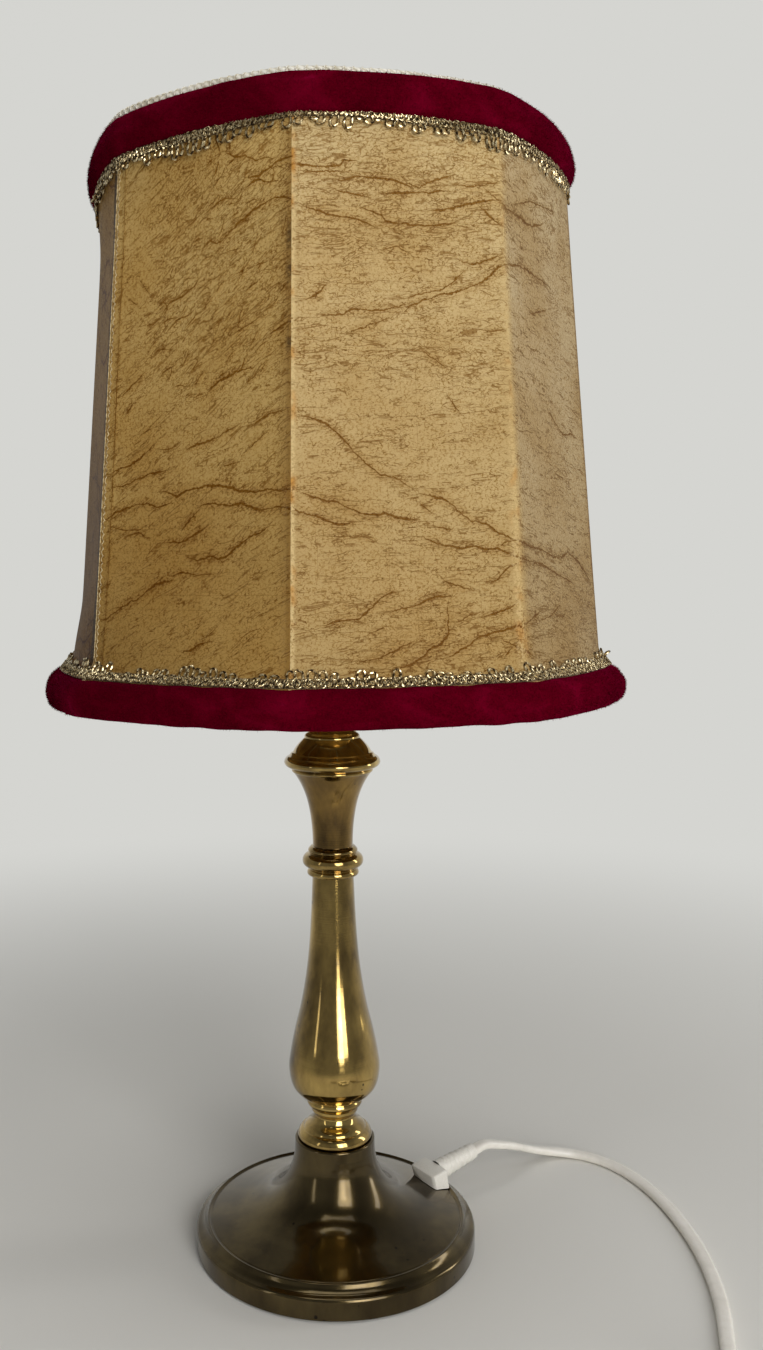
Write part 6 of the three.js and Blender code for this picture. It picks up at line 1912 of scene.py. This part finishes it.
# Hidden CAD pieces keep their shape and take the finish of the real ones
for node, material in (
    ("weight_ring", weight_iron), ("base_washer", wire_steel), ("base_nut", wire_steel),
    ("threaded_tube", wire_steel), ("cord_inside", flex_pvc),
):
    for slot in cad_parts[node].material_slots:
        slot.material = material

bpy.context.view_layer.update()


# Stage and light

# A pale room: brightest behind the lamp, where the camera looks, and dimmer behind the camera,
# so that the brass has something dark to mirror. The floor fades into it far from the lamp.

BACKDROP = "#d5d5d1"


def backdrop_level(owner, direction):
    """Share of the full backdrop that shows in a direction from the lamp."""
    x, y, z = add_node(owner, "SeparateXYZ", {0: direction}, out=None)
    lean = add_node(owner, "Math", {0: x, 1: 0.15, 2: y}, operation="MULTIPLY_ADD")
    behind, overhead = [
        add_node(owner, "MapRange", {
            "Value": value, "From Min": start, "From Max": end, "To Min": low, "To Max": high,
        }, interpolation_type="SMOOTHSTEP")
        for value, start, end, low, high in ((lean, -0.5, 0.9, 0.33, 1.0), (z, 0.4, 0.85, 1.0, 0.45))
    ]
    return add_node(owner, "Math", {0: behind, 1: overhead}, operation="MULTIPLY")


def seen_directly(owner):
    """1 for what the camera sees, straight or in gloss and glass, and 0 for light on matt surfaces."""
    path = add_node(owner, "LightPath", out=None)
    seen = path["Is Camera Ray"]
    for also in ("Is Glossy Ray", "Is Transmission Ray"):
        seen = add_node(owner, "Math", {0: seen, 1: path[also]}, operation="MAXIMUM")
    return seen


world = bpy.data.worlds.new("studio")
bpy.context.scene.world = world
world.use_nodes = True
background = world.node_tree.nodes["Background"]
background.inputs["Color"].default_value = linear(BACKDROP)
level = backdrop_level(world, add_node(world, "TexCoord", out="Generated"))
dimmed = add_node(world, "MapRange", {"Value": seen_directly(world), "To Min": 0.45, "To Max": 1.0})
strength = add_node(world, "Math", {0: level, 1: dimmed}, operation="MULTIPLY")
world.node_tree.links.new(strength, background.inputs["Strength"])
bpy.context.scene.view_settings.view_transform = "Standard"


def softbox(name, azimuth, height, distance, width, length, power, aim=0.25):
    """A rectangular softbox that looks at a height on the lamp's axis, in metres and watts.
    Azimuth 0 is the camera's side, and 90 is its right."""
    data = bpy.data.lights.new(name, "AREA")
    data.shape = "RECTANGLE"
    data.size, data.size_y = width, length
    data.energy = power
    light = bpy.data.objects.new(name, data)
    turn = math.radians(azimuth)
    place = Vector((distance * math.sin(turn), -distance * math.cos(turn), height))
    light.location = place
    light.rotation_mode = "QUATERNION"
    light.rotation_quaternion = (Vector((0, 0, aim)) - place).to_track_quat("-Z", "Y")
    bpy.context.scene.collection.objects.link(light)


# The low strip is what the column's taper mirrors as a bright streak
for name, azimuth, height, distance, width, length, power in (
    ("key_softbox", 25, 0.85, 2.0, 1.05, 1.7, 26.5),
    ("low_strip", 21, 0.28, 0.8, 0.16, 0.5, 1.0),
    ("side_softbox", 100, 0.8, 2.2, 0.35, 1.6, 9),
    ("fill_softbox", -50, 0.7, 2.2, 0.2, 1.5, 1.6),
    ("top_softbox", 10, 1.9, 0.3, 1.3, 1.3, 9),
):
    softbox(name, azimuth, height, distance, width, length, power)


def paper_floor():
    """Pale paper sweep: matt near the lamp, where it takes the shadow, then the plain backdrop."""
    material, shader = finish("floor_paper_matt", "#e4e2dc", 0.9, Specular_IOR_Level=0.1)
    place = add_node(material, "TexCoord", out="Object")
    far = add_node(material, "VectorMath", {0: place}, out="Value", operation="LENGTH")
    fade = add_node(material, "MapRange", {
        "Value": far, "From Min": 0.14, "From Max": 0.85,
    }, interpolation_type="SMOOTHSTEP")
    way = add_node(material, "VectorMath", {0: place}, operation="NORMALIZE")
    glow = add_node(material, "Emission", {"Color": BACKDROP, "Strength": backdrop_level(material, way)})
    share = add_node(material, "Math", {0: fade, 1: seen_directly(material)}, operation="MULTIPLY")
    mix = add_node(material, "MixShader", {0: share, 1: shader.outputs[0], 2: glow})
    material.node_tree.links.new(mix, material.node_tree.nodes["Material Output"].inputs["Surface"])
    return material


FLOOR = 9
floor_mesh = bpy.data.meshes.new("floor")
floor_corners = [(-FLOOR, -FLOOR, 0), (FLOOR, -FLOOR, 0), (FLOOR, FLOOR, 0), (-FLOOR, FLOOR, 0)]
floor_mesh.from_pydata(floor_corners, [], [(0, 1, 2, 3)])
floor_mesh.materials.append(paper_floor())
floor = bpy.data.objects.new("floor", floor_mesh)
bpy.context.scene.collection.objects.link(floor)
